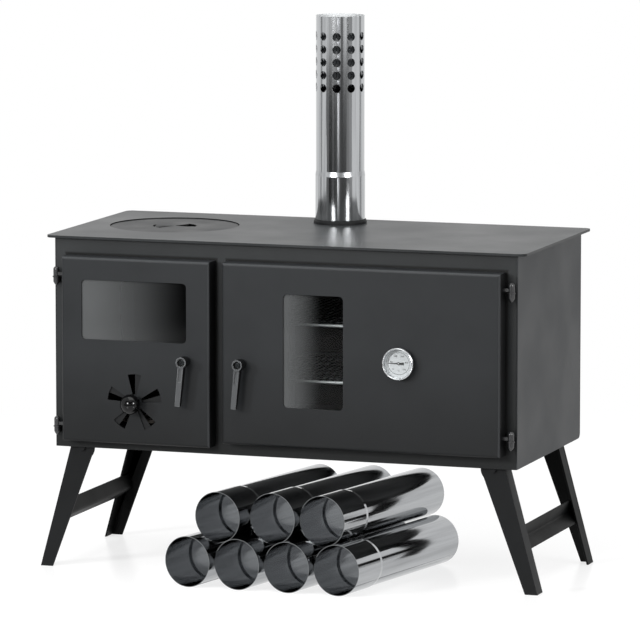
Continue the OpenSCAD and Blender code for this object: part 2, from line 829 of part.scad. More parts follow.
module oven_door() {
  color("#353739") difference() {
    door_pan(oven_door_box, oven_window, oven_latch_x);
    on_door(dial_x, dial_z) translate([0, 0, -door_depth]) cylinder(h = 2 * door_depth, r = dial_neck_r);
  }
}

module oven_glass() {
  color("#22252680") window_glass(oven_window);
}

module oven_glass_clips() {
  color("#55585a") glass_clips(oven_window, true);
}

module oven_seal() {
  color("#8b8679") door_seal(oven_door_box);
}

// ---------------------------------------------------------------- hinges

// Bullet hinge, frame half: tapered lower barrel with its leaf, washer and pin; z = 0 under the washer
module hinge_pin_half(side) {
  taper = 3;
  cylinder(h = washer_t, r = washer_r, $fn = 32);
  translate([0, 0, washer_t]) cylinder(h = barrel_height - 2, r = hinge_pin_r, $fn = 24);
  rotate_extrude($fn = 32) polygon([[0, 0], [barrel_r, 0], [barrel_r, -barrel_height + 3],
                                    [barrel_r - taper / 2, -barrel_height], [1.2, -barrel_height - taper], [0, -barrel_height - taper]]);
  block([-3, 0, -barrel_height + 1], [3, hinge_reach, -1]);
}

// Bullet hinge, door half: domed upper barrel with a tab to the door's side
module hinge_knuckle(side, tab_end) {
  base = washer_t + face_gap;
  tab_z = base + 1.5;
  difference() {
    union() {
      translate([0, 0, base]) cylinder(h = barrel_height, r = barrel_r, $fn = 32);
      translate([0, 0, base + barrel_height]) intersection() {
        scale(1) sphere(barrel_r, $fn = 32);
        translate([0, 0, barrel_r / 2]) cube([3 * barrel_r, 3 * barrel_r, barrel_r], center = true);
      }
      block([min(0, tab_end), -3.5, tab_z], [max(0, tab_end), 3.5, tab_z + 5]);
    }
    translate([0, 0, -1]) cylinder(h = base + barrel_height, r = hinge_pin_r + running_fit, $fn = 24);
  }
}

hinge_x = half_w - hinge_inset;
hinge_y = front_y - hinge_reach;

module firebox_hinge_pins() {
  color("#2d2e30") for (i = [0, 1])
    translate([-hinge_x, hinge_y, body_z0 + hinge_heights[i]]) hinge_pin_half(-1);
}

module firebox_hinge_knuckles() {
  color("#2d2e30") for (i = [0, 1])
    translate([-hinge_x, hinge_y, body_z0 + hinge_heights[i]])
      hinge_knuckle(-1, firebox_door_box[0] + hinge_x);
}

module oven_hinge_pins() {
  color("#2d2e30") for (i = [2, 3])
    translate([hinge_x, hinge_y, body_z0 + hinge_heights[i]]) hinge_pin_half(1);
}

module oven_hinge_knuckles() {
  color("#2d2e30") for (i = [2, 3])
    translate([hinge_x, hinge_y, body_z0 + hinge_heights[i]])
      hinge_knuckle(1, oven_door_box[1] - hinge_x);
}

// ---------------------------------------------------------------- air damper

module damper_disc() {
  color("#303132") on_door(damper_x, damper_z) translate([0, 0, -door_t - face_gap - damper_t])
    linear_extrude(damper_t) difference() {
      circle(damper_r);
      circle(stud_r);
      rotate(damper_rest_turn) vent_outline();
    }
}

module damper_stud() {
  inner = door_t + face_gap + damper_t;
  color("#8a8c8e") on_door(damper_x, damper_z) {
    translate([0, 0, -inner - 9]) cylinder(h = inner + 9 + knob_reach - knob_r / 2, r = stud_r, $fn = 32);
    translate([0, 0, -inner - 7]) cylinder(h = 6, r = stud_r + 3.2, $fn = 6);
    translate([0, 0, -inner - 1]) cylinder(h = 1, r = stud_r + 4.5, $fn = 32);
  }
}

module damper_knob() {
  color("#141415") on_door(damper_x, damper_z) difference() {
    union() {
      translate([0, 0, knob_reach]) sphere(knob_r, $fn = 48);
      translate([0, 0, 1]) cylinder(h = knob_reach - 1, r = knob_neck_r, $fn = 32);
    }
    translate([0, 0, -1]) cylinder(h = 1 + knob_reach - knob_r / 2, r = stud_r, $fn = 32);
  }
}

// ---------------------------------------------------------------- latches

lever_depth = 13;
hub_front = lever_reach;
hub_back = boss_len + face_gap;

// Clamping lever hanging from its hub: tapered in width and in depth, with a square tip, a hub that is
// hollow at the front and a long recess below it; local Y up, +Z to the front
module lever_handle(lean) {
  root = lever_width / 2;
  tip = lever_tip_width / 2;
  tip_r = 1.2;
  hub_wall = 2.2;
  recess_w = lever_width - 4.4;
  recess_top = -hub_r - 1.5;
  recess_len = 22;
  color("#1b1c1d") rotate(lean) difference() {
    union() {
      translate([0, 0, hub_back]) cylinder(h = hub_front - hub_back, r = hub_r, $fn = 48);
      intersection() {
        translate([0, 0, hub_back]) linear_extrude(hub_front) {
          polygon([[-root, 0], [root, 0], [tip, -lever_len + tip_r], [-tip, -lever_len + tip_r]]);
          translate([-tip + tip_r, -lever_len]) square([2 * tip - 2 * tip_r, 2 * tip_r]);
          for (x = [-tip + tip_r, tip - tip_r]) translate([x, -lever_len + tip_r]) circle(tip_r, $fn = 24);
        }
        rotate([90, 0, 90]) linear_extrude(4 * hub_r, center = true)
          polygon([[0, hub_front - 1], [-lever_len, hub_front - 3], [-lever_len, hub_front - 11], [0, hub_front - 1 - lever_depth]]);
      }
    }
    translate([0, 0, hub_front - 5]) cylinder(h = 6, r = hub_r - hub_wall, $fn = 32);
    translate([0, recess_top - recess_len, hub_front - 3]) linear_extrude(4)
      rounded_rect(-recess_w / 2, 0, recess_w / 2, recess_len, 1.6);
  }
}

// Spindle with its screw head in the hub's recess, and the tongue behind the front frame
module latch_spindle(tongue_len) {
  depth = tongue_y + tongue_t - door_y;
  color("#8a8c8e") {
    translate([0, 0, -depth]) cylinder(h = depth + hub_back, r = spindle_r, $fn = 32);
    translate([0, 0, -depth]) linear_extrude(tongue_t) {
      translate([-tongue_width / 2, -tongue_width / 2]) square([tongue_width, tongue_len]);
      translate([0, tongue_len - tongue_width / 2]) circle(tongue_width / 2, $fn = 32);
    }
  }
}

module firebox_handle() {
  on_door(firebox_latch_x, latch_z) lever_handle(-lever_lean);
}

module firebox_latch() {
  on_door(firebox_latch_x, latch_z) latch_spindle(firebox_tongue_len);
}

module oven_handle() {
  on_door(oven_latch_x, latch_z) lever_handle(-lever_lean);
}

module oven_latch() {
  on_door(oven_latch_x, latch_z) latch_spindle(oven_tongue_len);
}

// ---------------------------------------------------------------- thermometer

// Case with its bezel, neck, nut and probe
module thermometer_case() {
  front = dial_standoff + dial_depth;
  bore = dial_r - bezel_rim;
  round = bezel_rim / 3;
  color("#c4c6c8") on_door(dial_x, dial_z) {
    rotate_extrude($fn = 96) polygon([
      [0, dial_standoff], [dial_r - 3 * round, dial_standoff], [dial_r - round, dial_face_z],
      [dial_r, front - 3 * round], [dial_r - 0.6 * round, front - round], [dial_r - 1.8 * round, front],
      [bore, front - 1.4 * round], [bore, dial_face_z], [0, dial_face_z]]);
    cylinder(h = dial_standoff, r = dial_neck_r + dial_standoff);
    translate([0, 0, -door_t - dial_neck_len]) cylinder(h = door_t + dial_neck_len, r = dial_neck_r - running_fit);
    translate([0, 0, -door_t - dial_nut_t]) cylinder(h = dial_nut_t, r = dial_neck_r + dial_nut_t - 1, $fn = 6);
    translate([0, 0, -door_depth - probe_len]) cylinder(h = door_depth + probe_len - door_t, r = probe_r, $fn = 32);
  }
}

module thermometer_dial() {
  color("#e9eaea") on_door(dial_x, dial_z) translate([0, 0, dial_face_z]) {
    cylinder(h = dial_face_t, r = dial_r - bezel_rim, $fn = 96);
    cylinder(h = dial_face_t + 2, r = needle_pin_r, $fn = 24);
  }
}

// Needle pointing to the left, with a broad tail
module thermometer_needle() {
  color("#1a1a1a") on_door(dial_x, dial_z) translate([0, 0, dial_face_z + dial_face_t + face_gap])
    linear_extrude(needle_t) difference() {
      union() {
        circle(2.4, $fn = 24);
        polygon([[0, -1.1], [0, 1.1], [-dial_r + bezel_rim + 5, 0.25], [-dial_r + bezel_rim + 5, -0.25]]);
        polygon([[0, -1.4], [8.5, -1.9], [8.5, 1.9], [0, 1.4]]);
      }
      circle(needle_pin_r + running_fit, $fn = 24);
    }
}

module thermometer_glass() {
  color("#dfe6e840") on_door(dial_x, dial_z)
    translate([0, 0, dial_standoff + dial_depth - 1.2 - dial_glass_t - 1]) cylinder(h = dial_glass_t, r = dial_r - bezel_rim, $fn = 96);
}

// ---------------------------------------------------------------- legs

// Puts a right front leg's part in one corner: side is 1 for right, end is 1 for front.
// Local y = 0 is the face of the leg's flange, +Y towards the middle of the body
module leg_corner(side, end) {
  mirror([side < 0 ? 1 : 0, 0, 0])
    translate([0, end > 0 ? front_y + leg_inset : back_y - rear_leg_inset, 0])
      mirror([0, end > 0 ? 0 : 1, 0]) children();
}

// Outer and inner faces of the leg's side flange at height z
function leg_outer_x(z) = leg_top_out + (foot_out - leg_top_out) * (pivot_z - z) / pivot_z;
function leg_flange_x(z) = leg_outer_x(z) - leg_wall_x;

// Angle-section leg: tapered flange with a round top, and a flange along the outer edge
module leg() {
  color("#343638") {
    difference() {
      plate_xz(0, leg_t) {
        translate([pivot_x, pivot_z]) circle(leg_top_width / 2);
        polygon([[leg_top_in, pivot_z], [leg_top_out, pivot_z], [foot_out, 0], [foot_in, 0]]);
      }
      translate([pivot_x, leg_t + 1, pivot_z]) rotate([90, 0, 0]) cylinder(h = leg_t + 2, r = bolt_r + running_fit);
    }
    plate_xz(leg_t - tiny, leg_flange - leg_t + tiny)
      polygon([[leg_outer_x(flange_top_z), flange_top_z], [foot_out, 0], [foot_out - leg_wall_x, 0],
               [leg_flange_x(flange_top_z), flange_top_z]]);
  }
}

module left_front_leg() {
  leg_corner(-1, 1) leg();
}

module left_rear_leg() {
  leg_corner(-1, -1) leg();
}

module right_front_leg() {
  leg_corner(1, 1) leg();
}

module right_rear_leg() {
  leg_corner(1, -1) leg();
}

// A strip of sheet in the drawing plane: thickness t, its middle from p to q
module strip(p, q, t) {
  d = q - p;
  translate(p) rotate(atan2(d[1], d[0])) translate([0, -t / 2]) square([norm(d), t]);
}

// Folded stiffener between a front and a rear leg: a V whose fold points to the middle of the stove and
// whose two edges lie along the legs' side flanges
module crossbar() {
  y0 = front_y + leg_inset + leg_t;
  y1 = back_y - rear_leg_inset - leg_t;
  z1 = crossbar_rise;
  z0 = crossbar_rise - crossbar_height;
  t = crossbar_t;
  top = [leg_flange_x(z1) - t / 2, z1 + 1];
  fold = [half_w - crossbar_inset + t / 2, z1 - crossbar_fold_drop];
  low = [leg_flange_x(z0) + 1, z0];
  to_top = (top - fold) / norm(top - fold);
  to_low = (low - fold) / norm(low - fold);
  half = acos(to_top * to_low) / 2;
  start = crossbar_fold_r / tan(half);
  middle = (to_top + to_low) / norm(to_top + to_low);
  centre = fold + middle * crossbar_fold_r / sin(half);
  color("#2f3133") plate_xz(y0, y1 - y0) intersection() {
    union() {
      strip(fold + to_top * start, top, t);
      strip(fold + to_low * start, low + to_low * 2, t);
      translate(centre) rotate(atan2(-middle[1], -middle[0]) - 90)
        ring_sector(crossbar_fold_r - t / 2, crossbar_fold_r + t / 2, 180 - 2 * half + 1);
    }
    polygon([[0, z0], [leg_flange_x(z0), z0], [leg_flange_x(z1), z1], [0, z1]]);
  }
}

module right_crossbar() {
  crossbar();
}

module left_crossbar() {
  mirror([1, 0, 0]) crossbar();
}

// Lug with the bolt's hole under the bottom sheet, and a stop over the leg's side flange
module leg_bracket() {
  y = leg_t + face_gap;
  through = 2 * (y + bracket_t);
  difference() {
    plate_xz(y, bracket_t) {
      translate([pivot_x, pivot_z]) circle(bracket_r);
      translate([pivot_x - bracket_r, pivot_z]) square([2 * bracket_r, bottom_z - pivot_z]);
    }
    translate([pivot_x, 0, pivot_z]) rotate([-90, 0, 0]) cylinder(h = through, r = bolt_r);
  }
  block([pivot_x + bolt_head_r + 2, y + bracket_t - tiny, stop_z], [leg_top_out + 4, leg_flange - 4, stop_z + bracket_t]);
}

module leg_bolt() {
  y = leg_t + face_gap + bracket_t;
  translate([pivot_x, 0, pivot_z]) rotate([-90, 0, 0]) {
    translate([0, 0, -face_gap - bolt_head_t]) cylinder(h = bolt_head_t, r = bolt_head_r, $fn = 6);
    translate([0, 0, -face_gap - tiny]) cylinder(h = y + face_gap + 8, r = bolt_r, $fn = 32);
    translate([0, 0, y]) cylinder(h = 5, r = bolt_head_r, $fn = 6);
  }
}

module leg_brackets() {
  color("#3b3d3f") for (side = [-1, 1], end = [-1, 1]) leg_corner(side, end) leg_bracket();
}

module leg_bolts() {
  color("#2a2b2c") for (side = [-1, 1], end = [-1, 1]) leg_corner(side, end) leg_bolt();
}

// ---------------------------------------------------------------- spare sections

// A lying section: index 0 to 3 in the lower row, 4 to 6 in the upper row, from the left
module spare_section(index) {
  upper = index >= lower_count;
  place = upper ? index - lower_count + 0.5 : index;
  back = upper ? upper_setback[index - lower_count] : 0;
  x = stack_x + (place - (lower_count - 1) / 2) * stack_step_x + back * tan(stack_turn);
  color("#b4b6b8") translate([x, stack_mouth_y + back, upper ? upper_z : socket_outer_r])
    rotate([0, 0, -stack_turn]) rotate([-90, 0, 0]) pipe_section();
}

module spare_pipe_1() { spare_section(0); }
module spare_pipe_2() { spare_section(1); }
module spare_pipe_3() { spare_section(2); }
module spare_pipe_4() { spare_section(3); }
module spare_pipe_5() { spare_section(4); }
module spare_pipe_6() { spare_section(5); }
module spare_pipe_7() { spare_section(6); }

front_frame();
left_panel();
right_panel();
back_panel();
bottom_panel();
top_plate();
lid_ring();
cook_lid();
flue_collar();
chimney_pipe();
firebox_grate();
grate_rails();
oven_left_wall();
oven_right_wall();
oven_floor();
oven_roof();
oven_back();
rack_runners();
upper_rack();
lower_rack();
firebox_door();
firebox_glass();
firebox_glass_clips();
firebox_seal();
firebox_hinge_knuckles();
firebox_hinge_pins();
damper_disc();
damper_knob();
damper_stud();
firebox_handle();
firebox_latch();
oven_door();
oven_glass();
oven_glass_clips();
oven_seal();
oven_hinge_knuckles();
oven_hinge_pins();
oven_handle();
oven_latch();
thermometer_case();
thermometer_dial();
thermometer_needle();
thermometer_glass();
leg_brackets();
leg_bolts();
left_front_leg();
left_rear_leg();
left_crossbar();
right_front_leg();
right_rear_leg();
right_crossbar();
spare_pipe_1();
spare_pipe_2();
spare_pipe_3();
spare_pipe_4();
spare_pipe_5();
spare_pipe_6();
spare_pipe_7();
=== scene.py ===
"""Tent wood stove: the finishes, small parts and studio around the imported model.

Every length is in metres, +X to the right, +Y to the back and +Z up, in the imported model's frame.
"""

from __future__ import annotations

import json
import logging
import math
from abc import ABC, abstractmethod
from collections.abc import Iterator, Mapping, Sequence
from contextlib import contextmanager
from dataclasses import dataclass, field
from enum import Enum
from typing import Any

import bpy
from mathutils import Euler, Matrix, Vector

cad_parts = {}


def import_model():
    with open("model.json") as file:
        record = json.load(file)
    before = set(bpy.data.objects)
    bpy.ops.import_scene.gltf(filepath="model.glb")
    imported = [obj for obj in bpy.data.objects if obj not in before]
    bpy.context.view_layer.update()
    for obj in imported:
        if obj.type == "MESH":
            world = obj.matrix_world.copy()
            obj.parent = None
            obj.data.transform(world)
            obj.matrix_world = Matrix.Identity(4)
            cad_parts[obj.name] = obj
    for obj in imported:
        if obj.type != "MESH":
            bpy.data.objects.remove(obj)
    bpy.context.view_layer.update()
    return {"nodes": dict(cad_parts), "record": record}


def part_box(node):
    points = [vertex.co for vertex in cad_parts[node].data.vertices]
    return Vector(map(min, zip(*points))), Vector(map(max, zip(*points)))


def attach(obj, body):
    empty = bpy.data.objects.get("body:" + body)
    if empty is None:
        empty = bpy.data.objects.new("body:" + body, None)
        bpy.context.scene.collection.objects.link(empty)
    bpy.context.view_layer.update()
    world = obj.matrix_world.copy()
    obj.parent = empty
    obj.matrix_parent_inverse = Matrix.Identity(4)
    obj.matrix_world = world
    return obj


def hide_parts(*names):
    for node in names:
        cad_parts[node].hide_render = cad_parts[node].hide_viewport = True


LOG = logging.getLogger("tent_stove")
MM = 0.001
# The turn that stands a flat primitive up, so that it faces the front.
FACE_FRONT = (math.radians(90), 0.0, 0.0)


# ---------------------------------------------------------------- small tools


def linear(code: str) -> tuple[float, float, float, float]:
    """Turn an sRGB hex colour into linear RGBA.

    Args:
        code: Six hex digits with a leading "#".

    Returns:
        The linear red, green and blue, and an alpha of 1.
    """
    parts = [int(code[i : i + 2], 16) / 255 for i in (1, 3, 5)]
    r, g, b = (c / 12.92 if c <= 0.04045 else ((c + 0.055) / 1.055) ** 2.4 for c in parts)
    return r, g, b, 1.0


def add_node(
    tree: bpy.types.NodeTree,
    kind: str,
    settings: Mapping[str, Any] | None = None,
    values: Mapping[Any, Any] | None = None,
    links: Mapping[Any, bpy.types.NodeSocket] | None = None,
) -> bpy.types.Node:
    """Add a node with its settings, input values and links.

    Args:
        tree: The node tree.
        kind: The node's type.
        settings: Attributes of the node itself.
        values: Input names or numbers, with their values.
        links: Input names or numbers, with the outputs that feed them.

    Returns:
        The new node.
    """
    node = tree.nodes.new(kind)
    for key, value in (settings or {}).items():
        setattr(node, key, value)
    for key, value in (values or {}).items():
        node.inputs[key].default_value = value
    for key, socket in (links or {}).items():
        tree.links.new(socket, node.inputs[key])
    return node


def between(start: float, end: float, low: float = 0.0, high: float = 1.0) -> dict[str, float]:
    """Say how one span of values maps to another.

    Args:
        start: The value that gives low.
        end: The value that gives high.
        low: The result at start and before it.
        high: The result at end and after it.

    Returns:
        The input values of a Map Range node.
    """
    return {"From Min": start, "From Max": end, "To Min": low, "To Max": high}


def empty_tree(owner: bpy.types.Material | bpy.types.World) -> bpy.types.NodeTree:
    """Give a material or a world an empty node tree.

    Args:
        owner: The material or world.

    Returns:
        Its node tree.
    """
    owner.use_nodes = True
    owner.node_tree.nodes.clear()
    return owner.node_tree


def only(obj: bpy.types.Object) -> bpy.types.Object:
    """Select one object alone and make it active.

    Args:
        obj: The object.

    Returns:
        The same object.
    """
    bpy.ops.object.select_all(action="DESELECT")
    obj.select_set(True)
    bpy.context.view_layer.objects.active = obj
    return obj


@contextmanager
def editing(obj: bpy.types.Object) -> Iterator[bpy.types.Object]:
    """Hold an object in edit mode, with all of it selected.

    Args:
        obj: The object.

    Yields:
        The same object.
    """
    only(obj)
    bpy.ops.object.mode_set(mode="EDIT")
    bpy.ops.mesh.select_all(action="SELECT")
    try:
        yield obj
    finally:
        bpy.ops.object.mode_set(mode="OBJECT")


def apply_place(obj: bpy.types.Object, scale_only: bool = False) -> bpy.types.Object:
    """Put an object's scale, and its place and turn, into its mesh.

    Args:
        obj: The object.
        scale_only: Whether its place and turn stay on the object.

    Returns:
        The same object.
    """
    only(obj)
    bpy.ops.object.transform_apply(location=not scale_only, rotation=not scale_only, scale=True)
    return obj


def settle(obj: bpy.types.Object, smooth_angle: float = 35.0) -> bpy.types.Object:
    """Apply an object's place and shade it smooth up to an angle.

    Args:
        obj: The object.
        smooth_angle: The largest angle that is shaded smooth, in degrees.

    Returns:
        The same object, at the origin.
    """
    apply_place(obj)
    bpy.ops.object.shade_smooth_by_angle(angle=math.radians(smooth_angle))
    return obj


def apply_modifier(obj: bpy.types.Object, name: str, kind: str, settings: Mapping[str, Any]) -> None:
    """Add a modifier to an object and apply it.

    Args:
        obj: The object.
        name: The modifier's name.
        kind: Its type.
        settings: Its settings.
    """
    only(obj)
    modifier = obj.modifiers.new(name, kind)
    for key, value in settings.items():
        setattr(modifier, key, value)
    bpy.ops.object.modifier_apply(modifier=modifier.name)


def apply_bevel(obj: bpy.types.Object, width: float, segments: int = 2) -> None:
    """Round an object's sharp edges.

    Args:
        obj: The object.
        width: The bevel's width in metres.
        segments: How many faces the bevel has across.
    """
    settings = {"width": width, "segments": segments, "limit_method": "ANGLE", "angle_limit": math.radians(40)}
    apply_modifier(obj, "edge", "BEVEL", {**settings, "use_clamp_overlap": True})


def flatten_shading(obj: bpy.types.Object) -> None:
    """Let the large faces of a bevelled object keep their own normals, so that only its edges shade round.

    Args:
        obj: The object, already shaded smooth by angle.
    """
    apply_modifier(obj, "flat_faces", "WEIGHTED_NORMAL", {"keep_sharp": True, "weight": 100})


def add_piece(name: str) -> bpy.types.Object:
    """Name the object that an operator has just added.

    Args:
        name: The piece's name.

    Returns:
        The active object.
    """
    obj = bpy.context.object
    obj.name = name
    obj.data.name = name
    return obj


def join_parts(parts: Sequence[bpy.types.Object], name: str) -> bpy.types.Object:
    """Join parts into one piece.

    Args:
        parts: The parts.
        name: The piece's name.

    Returns:
        The piece, settled.
    """
    only(parts[0])
    for part in parts:
        part.select_set(True)
    bpy.ops.object.join()
    return settle(add_piece(name))


def finish_piece(obj: bpy.types.Object, finish: Finish, body: str) -> bpy.types.Object:
    """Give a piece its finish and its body.

    Args:
        obj: The piece.
        finish: Its finish.
        body: The body that it moves with.

    Returns:
        The same piece.
    """
    obj.data.materials.clear()
    obj.data.materials.append(finish.material())
    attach(obj, body)
    return obj


# ---------------------------------------------------------------- finishes

# Most of a noise's factor lies between these two values.
SPOTS = (0.35, 0.65)
COLOURS = {"data_type": "RGBA"}
# The inputs and the output of a colour Mix node have the same names as its other ones, so they go by number.
MIX_A, MIX_B, MIX_RESULT = 6, 7, 2
# The colour of the painted shadow behind and round the doors.
PAINTED_SHADOW = "#060707"


@dataclass(frozen=True)
class SurfacePoint:
    """The shaded point, as node outputs: its place and the way it faces, whole and by axis.

    By axis, the way it faces goes from 1, straight along that axis, through 0, square to it, to -1, straight back.
    """

    place: bpy.types.NodeSocket
    facing: bpy.types.NodeSocket
    at: Mapping[str, bpy.types.NodeSocket]
    faces: Mapping[str, bpy.types.NodeSocket]


class Finish(ABC):
    """A real finish, made once as a material."""

    name: str

    def material(self) -> bpy.types.Material:
        """Make the finish's material on first use.

        Returns:
            The material.
        """
        found = bpy.data.materials.get(self.name)
        if found is not None:
            return found
        made = bpy.data.materials.new(self.name)
        tree = empty_tree(made)
        outputs = add_node(tree, "ShaderNodeTexCoord").outputs
        at, faces = (
            add_node(tree, "ShaderNodeSeparateXYZ", links={"Vector": outputs[key]}).outputs
            for key in ("Object", "Normal")
        )
        surface = self.build(tree, SurfacePoint(outputs["Object"], outputs["Normal"], at, faces))
        add_node(tree, "ShaderNodeOutputMaterial", links={"Surface": surface})
        return made

    @abstractmethod
    def build(self, tree: bpy.types.NodeTree, point: SurfacePoint) -> bpy.types.NodeSocket:
        """Build the surface.

        Args:
            tree: The material's node tree.
            point: The shaded point.

        Returns:
            The shader output.
        """


def edge_shine(tree: bpy.types.NodeTree, least: float, most: float) -> bpy.types.NodeSocket:
    """Give the share of mirror shine on a pane, the same on both of its faces.

    Args:
        tree: The node tree.
        least: The share seen straight on.
        most: The share seen along the pane.

    Returns:
        The share.
    """
    facing = add_node(tree, "ShaderNodeLayerWeight", values={"Blend": 0.5}).outputs["Facing"]
    steep = add_node(tree, "ShaderNodeMath", {"operation": "POWER"}, {1: 4.0}, {0: facing}).outputs[0]
    return add_node(
        tree, "ShaderNodeMapRange", values=between(0.0, 1.0, least, most), links={"Value": steep}
    ).outputs["Result"]


@dataclass(frozen=True)
class HeatProofPaint(Finish):
    """Matt silicone paint sprayed on sheet steel: a dry, faintly sandy film with cloudy patches.

    Painted shade darkens the film on folded rims, low on the body and on a hole's wall; a painted shadow blackens it
    behind and round doors, and a painted highlight makes it paler on bends.
    """

    name: str
    colour: str
    cloud_colour: str
    roughness: float = 0.5
    specular: float = 0.22
    cloud: float = 90 * MM
    grain: float = 1.6 * MM
    relief: float = 0.05 * MM
    sand: float = 0.14
    rough_spread: tuple[float, float] = (-0.04, 0.05)
    rim_colour: str = ""
    rim_ahead: bool = False
    bend_colour: str = ""
    foot_colour: str = ""
    foot_heights: tuple[float, float] = (0.15, 0.36)
    hole: tuple[float, float, float] | tuple[()] = ()
    hole_colour: str = "#0a0b0b"
    hole_blur: float = 1 * MM
    # Boxes of painted shadow behind and round the doors, by their left, right, low and high edges.
    dark_fields: tuple[tuple[float, float, float, float], ...] = ()
    field_blur: float = 3 * MM
    # Spans of the way a face looks, over which each of these places fades in or out.
    rim_up: tuple[float, float] = (0.3, 0.9)
    rim_front: tuple[float, float] = (-0.9, -0.3)
    bend_front: tuple[float, float] = (-0.99, -0.9)
    bend_side: tuple[float, float] = (-0.5, -0.3)
    bend_way: tuple[float, float] = (0.1, 0.35)
    wall_up: tuple[float, float] = (0.3, 0.95)

    def _rims(self, tree: bpy.types.NodeTree, point: SurfacePoint) -> bpy.types.NodeSocket:
        """Find the folded rims, which take painted shade: the faces that look neither up nor, unless rim_ahead is set,
        ahead.

        Args:
            tree: The material's node tree.
            point: The shaded point.

        Returns:
            1 on the rims and 0 elsewhere.
        """
        not_up = add_node(
            tree, "ShaderNodeMapRange", values=between(*self.rim_up, 1.0, 0.0), links={"Value": point.faces["Z"]}
        ).outputs["Result"]
        if self.rim_ahead:
            return not_up
        not_ahead = add_node(
            tree, "ShaderNodeMapRange", values=between(*self.rim_front), links={"Value": point.faces["Y"]}
        ).outputs["Result"]
        return add_node(tree, "ShaderNodeMath", {"operation": "MULTIPLY"}, links={0: not_ahead, 1: not_up}).outputs[0]

    def _bends(self, tree: bpy.types.NodeTree, point: SurfacePoint) -> bpy.types.NodeSocket:
        """Find the bends of a pan along its top and its right side, which take a painted highlight.

        Args:
            tree: The material's node tree.
            point: The shaded point.

        Returns:
            1 on those bends and 0 elsewhere.
        """
        off_front, off_side, right, up = (
            add_node(tree, "ShaderNodeMapRange", values=limits, links={"Value": point.faces[axis]}).outputs["Result"]
            for axis, limits in (
                ("Y", between(*self.bend_front)),
                ("Y", between(*self.bend_side, 1.0, 0.0)),
                ("X", between(*self.bend_way)),
                ("Z", between(*self.bend_way)),
            )
        )
        pair = {0: off_front, 1: off_side}
        turned = add_node(tree, "ShaderNodeMath", {"operation": "MINIMUM"}, links=pair).outputs[0]
        way = add_node(tree, "ShaderNodeMath", {"operation": "MAXIMUM"}, links={0: right, 1: up}).outputs[0]
        return add_node(tree, "ShaderNodeMath", {"operation": "MULTIPLY"}, links={0: turned, 1: way}).outputs[0]

    def _hole(self, tree: bpy.types.NodeTree, point: SurfacePoint) -> bpy.types.NodeSocket:
        """Find the wall of the round hole, which takes painted shade.

        Args:
            tree: The material's node tree.
            point: The shaded point.

        Returns:
            1 on the wall and 0 elsewhere.
        """
        x, y, radius = self.hole
        level = add_node(
            tree,
            "ShaderNodeMapping",
            values={"Location": (-x, -y, 0.0), "Scale": (1.0, 1.0, 0.0)},
            links={"Vector": point.place},
        ).outputs[0]
        away = add_node(tree, "ShaderNodeVectorMath", {"operation": "LENGTH"}, links={0: level}).outputs["Value"]
        near, steep = (
            add_node(tree, "ShaderNodeMapRange", values=limits, links={"Value": value}).outputs["Result"]
            for value, limits in (
                (away, between(radius, radius + self.hole_blur, 1.0, 0.0)),
                (point.faces["Z"], between(*self.wall_up, 1.0, 0.0)),
            )
        )
        return add_node(tree, "ShaderNodeMath", {"operation": "MULTIPLY"}, links={0: near, 1: steep}).outputs[0]

    def _fields(self, tree: bpy.types.NodeTree, point: SurfacePoint) -> bpy.types.NodeSocket:
        """Find the painted shadow behind and close round each door.

        Args:
            tree: The material's node tree.
            point: The shaded point.

        Returns:
            1 inside the fields and 0 outside, with soft edges.
        """
        found = None
        for left, right, low, high in self.dark_fields:
            inside = None
            for axis, edge, way in (("X", left, 1), ("X", right, -1), ("Z", low, 1), ("Z", high, -1)):
                limits = between(edge - way * self.field_blur, edge)
                reach = add_node(tree, "ShaderNodeMapRange", values=limits, links={"Value": point.at[axis]}).outputs[0]
                if inside is not None:
                    pair = {0: inside, 1: reach}
                    reach = add_node(tree, "ShaderNodeMath", {"operation": "MINIMUM"}, links=pair).outputs[0]
                inside = reach
            if found is not None:
                pair = {0: found, 1: inside}
                inside = add_node(tree, "ShaderNodeMath", {"operation": "MAXIMUM"}, links=pair).outputs[0]
            found = inside
        return found

    def build(self, tree: bpy.types.NodeTree, point: SurfacePoint) -> bpy.types.NodeSocket:
        """Build the paint film, with the darker and paler places over it.

        Args:
            tree: The material's node tree.
            point: The shaded point.

        Returns:
            The shader output.
        """
        clouds, grain = (
            add_node(
                tree, "ShaderNodeTexNoise", values={"Scale": 1 / size, "Detail": detail}, links={"Vector": point.place}
            ).outputs["Fac"]
            for size, detail in ((self.cloud, 4.0), (self.grain, 2.0))
        )
        cloudy, sandy, rough = (
            add_node(tree, "ShaderNodeMapRange", values=limits, links={"Value": value}).outputs["Result"]
            for value, limits in (
                (clouds, between(*SPOTS)),
                (grain, between(*SPOTS, 0.0, self.sand)),
                (clouds, between(*SPOTS, *(self.roughness + change for change in self.rough_spread))),
            )
        )
        layers = [(sandy, self.cloud_colour)]
        # Painted shade, darker towards the bottom.
        if self.foot_colour:
            limits = between(*self.foot_heights, 1.0, 0.0)
            foot = add_node(tree, "ShaderNodeMapRange", values=limits, links={"Value": point.at["Z"]}).outputs[0]
            layers.append((foot, self.foot_colour))
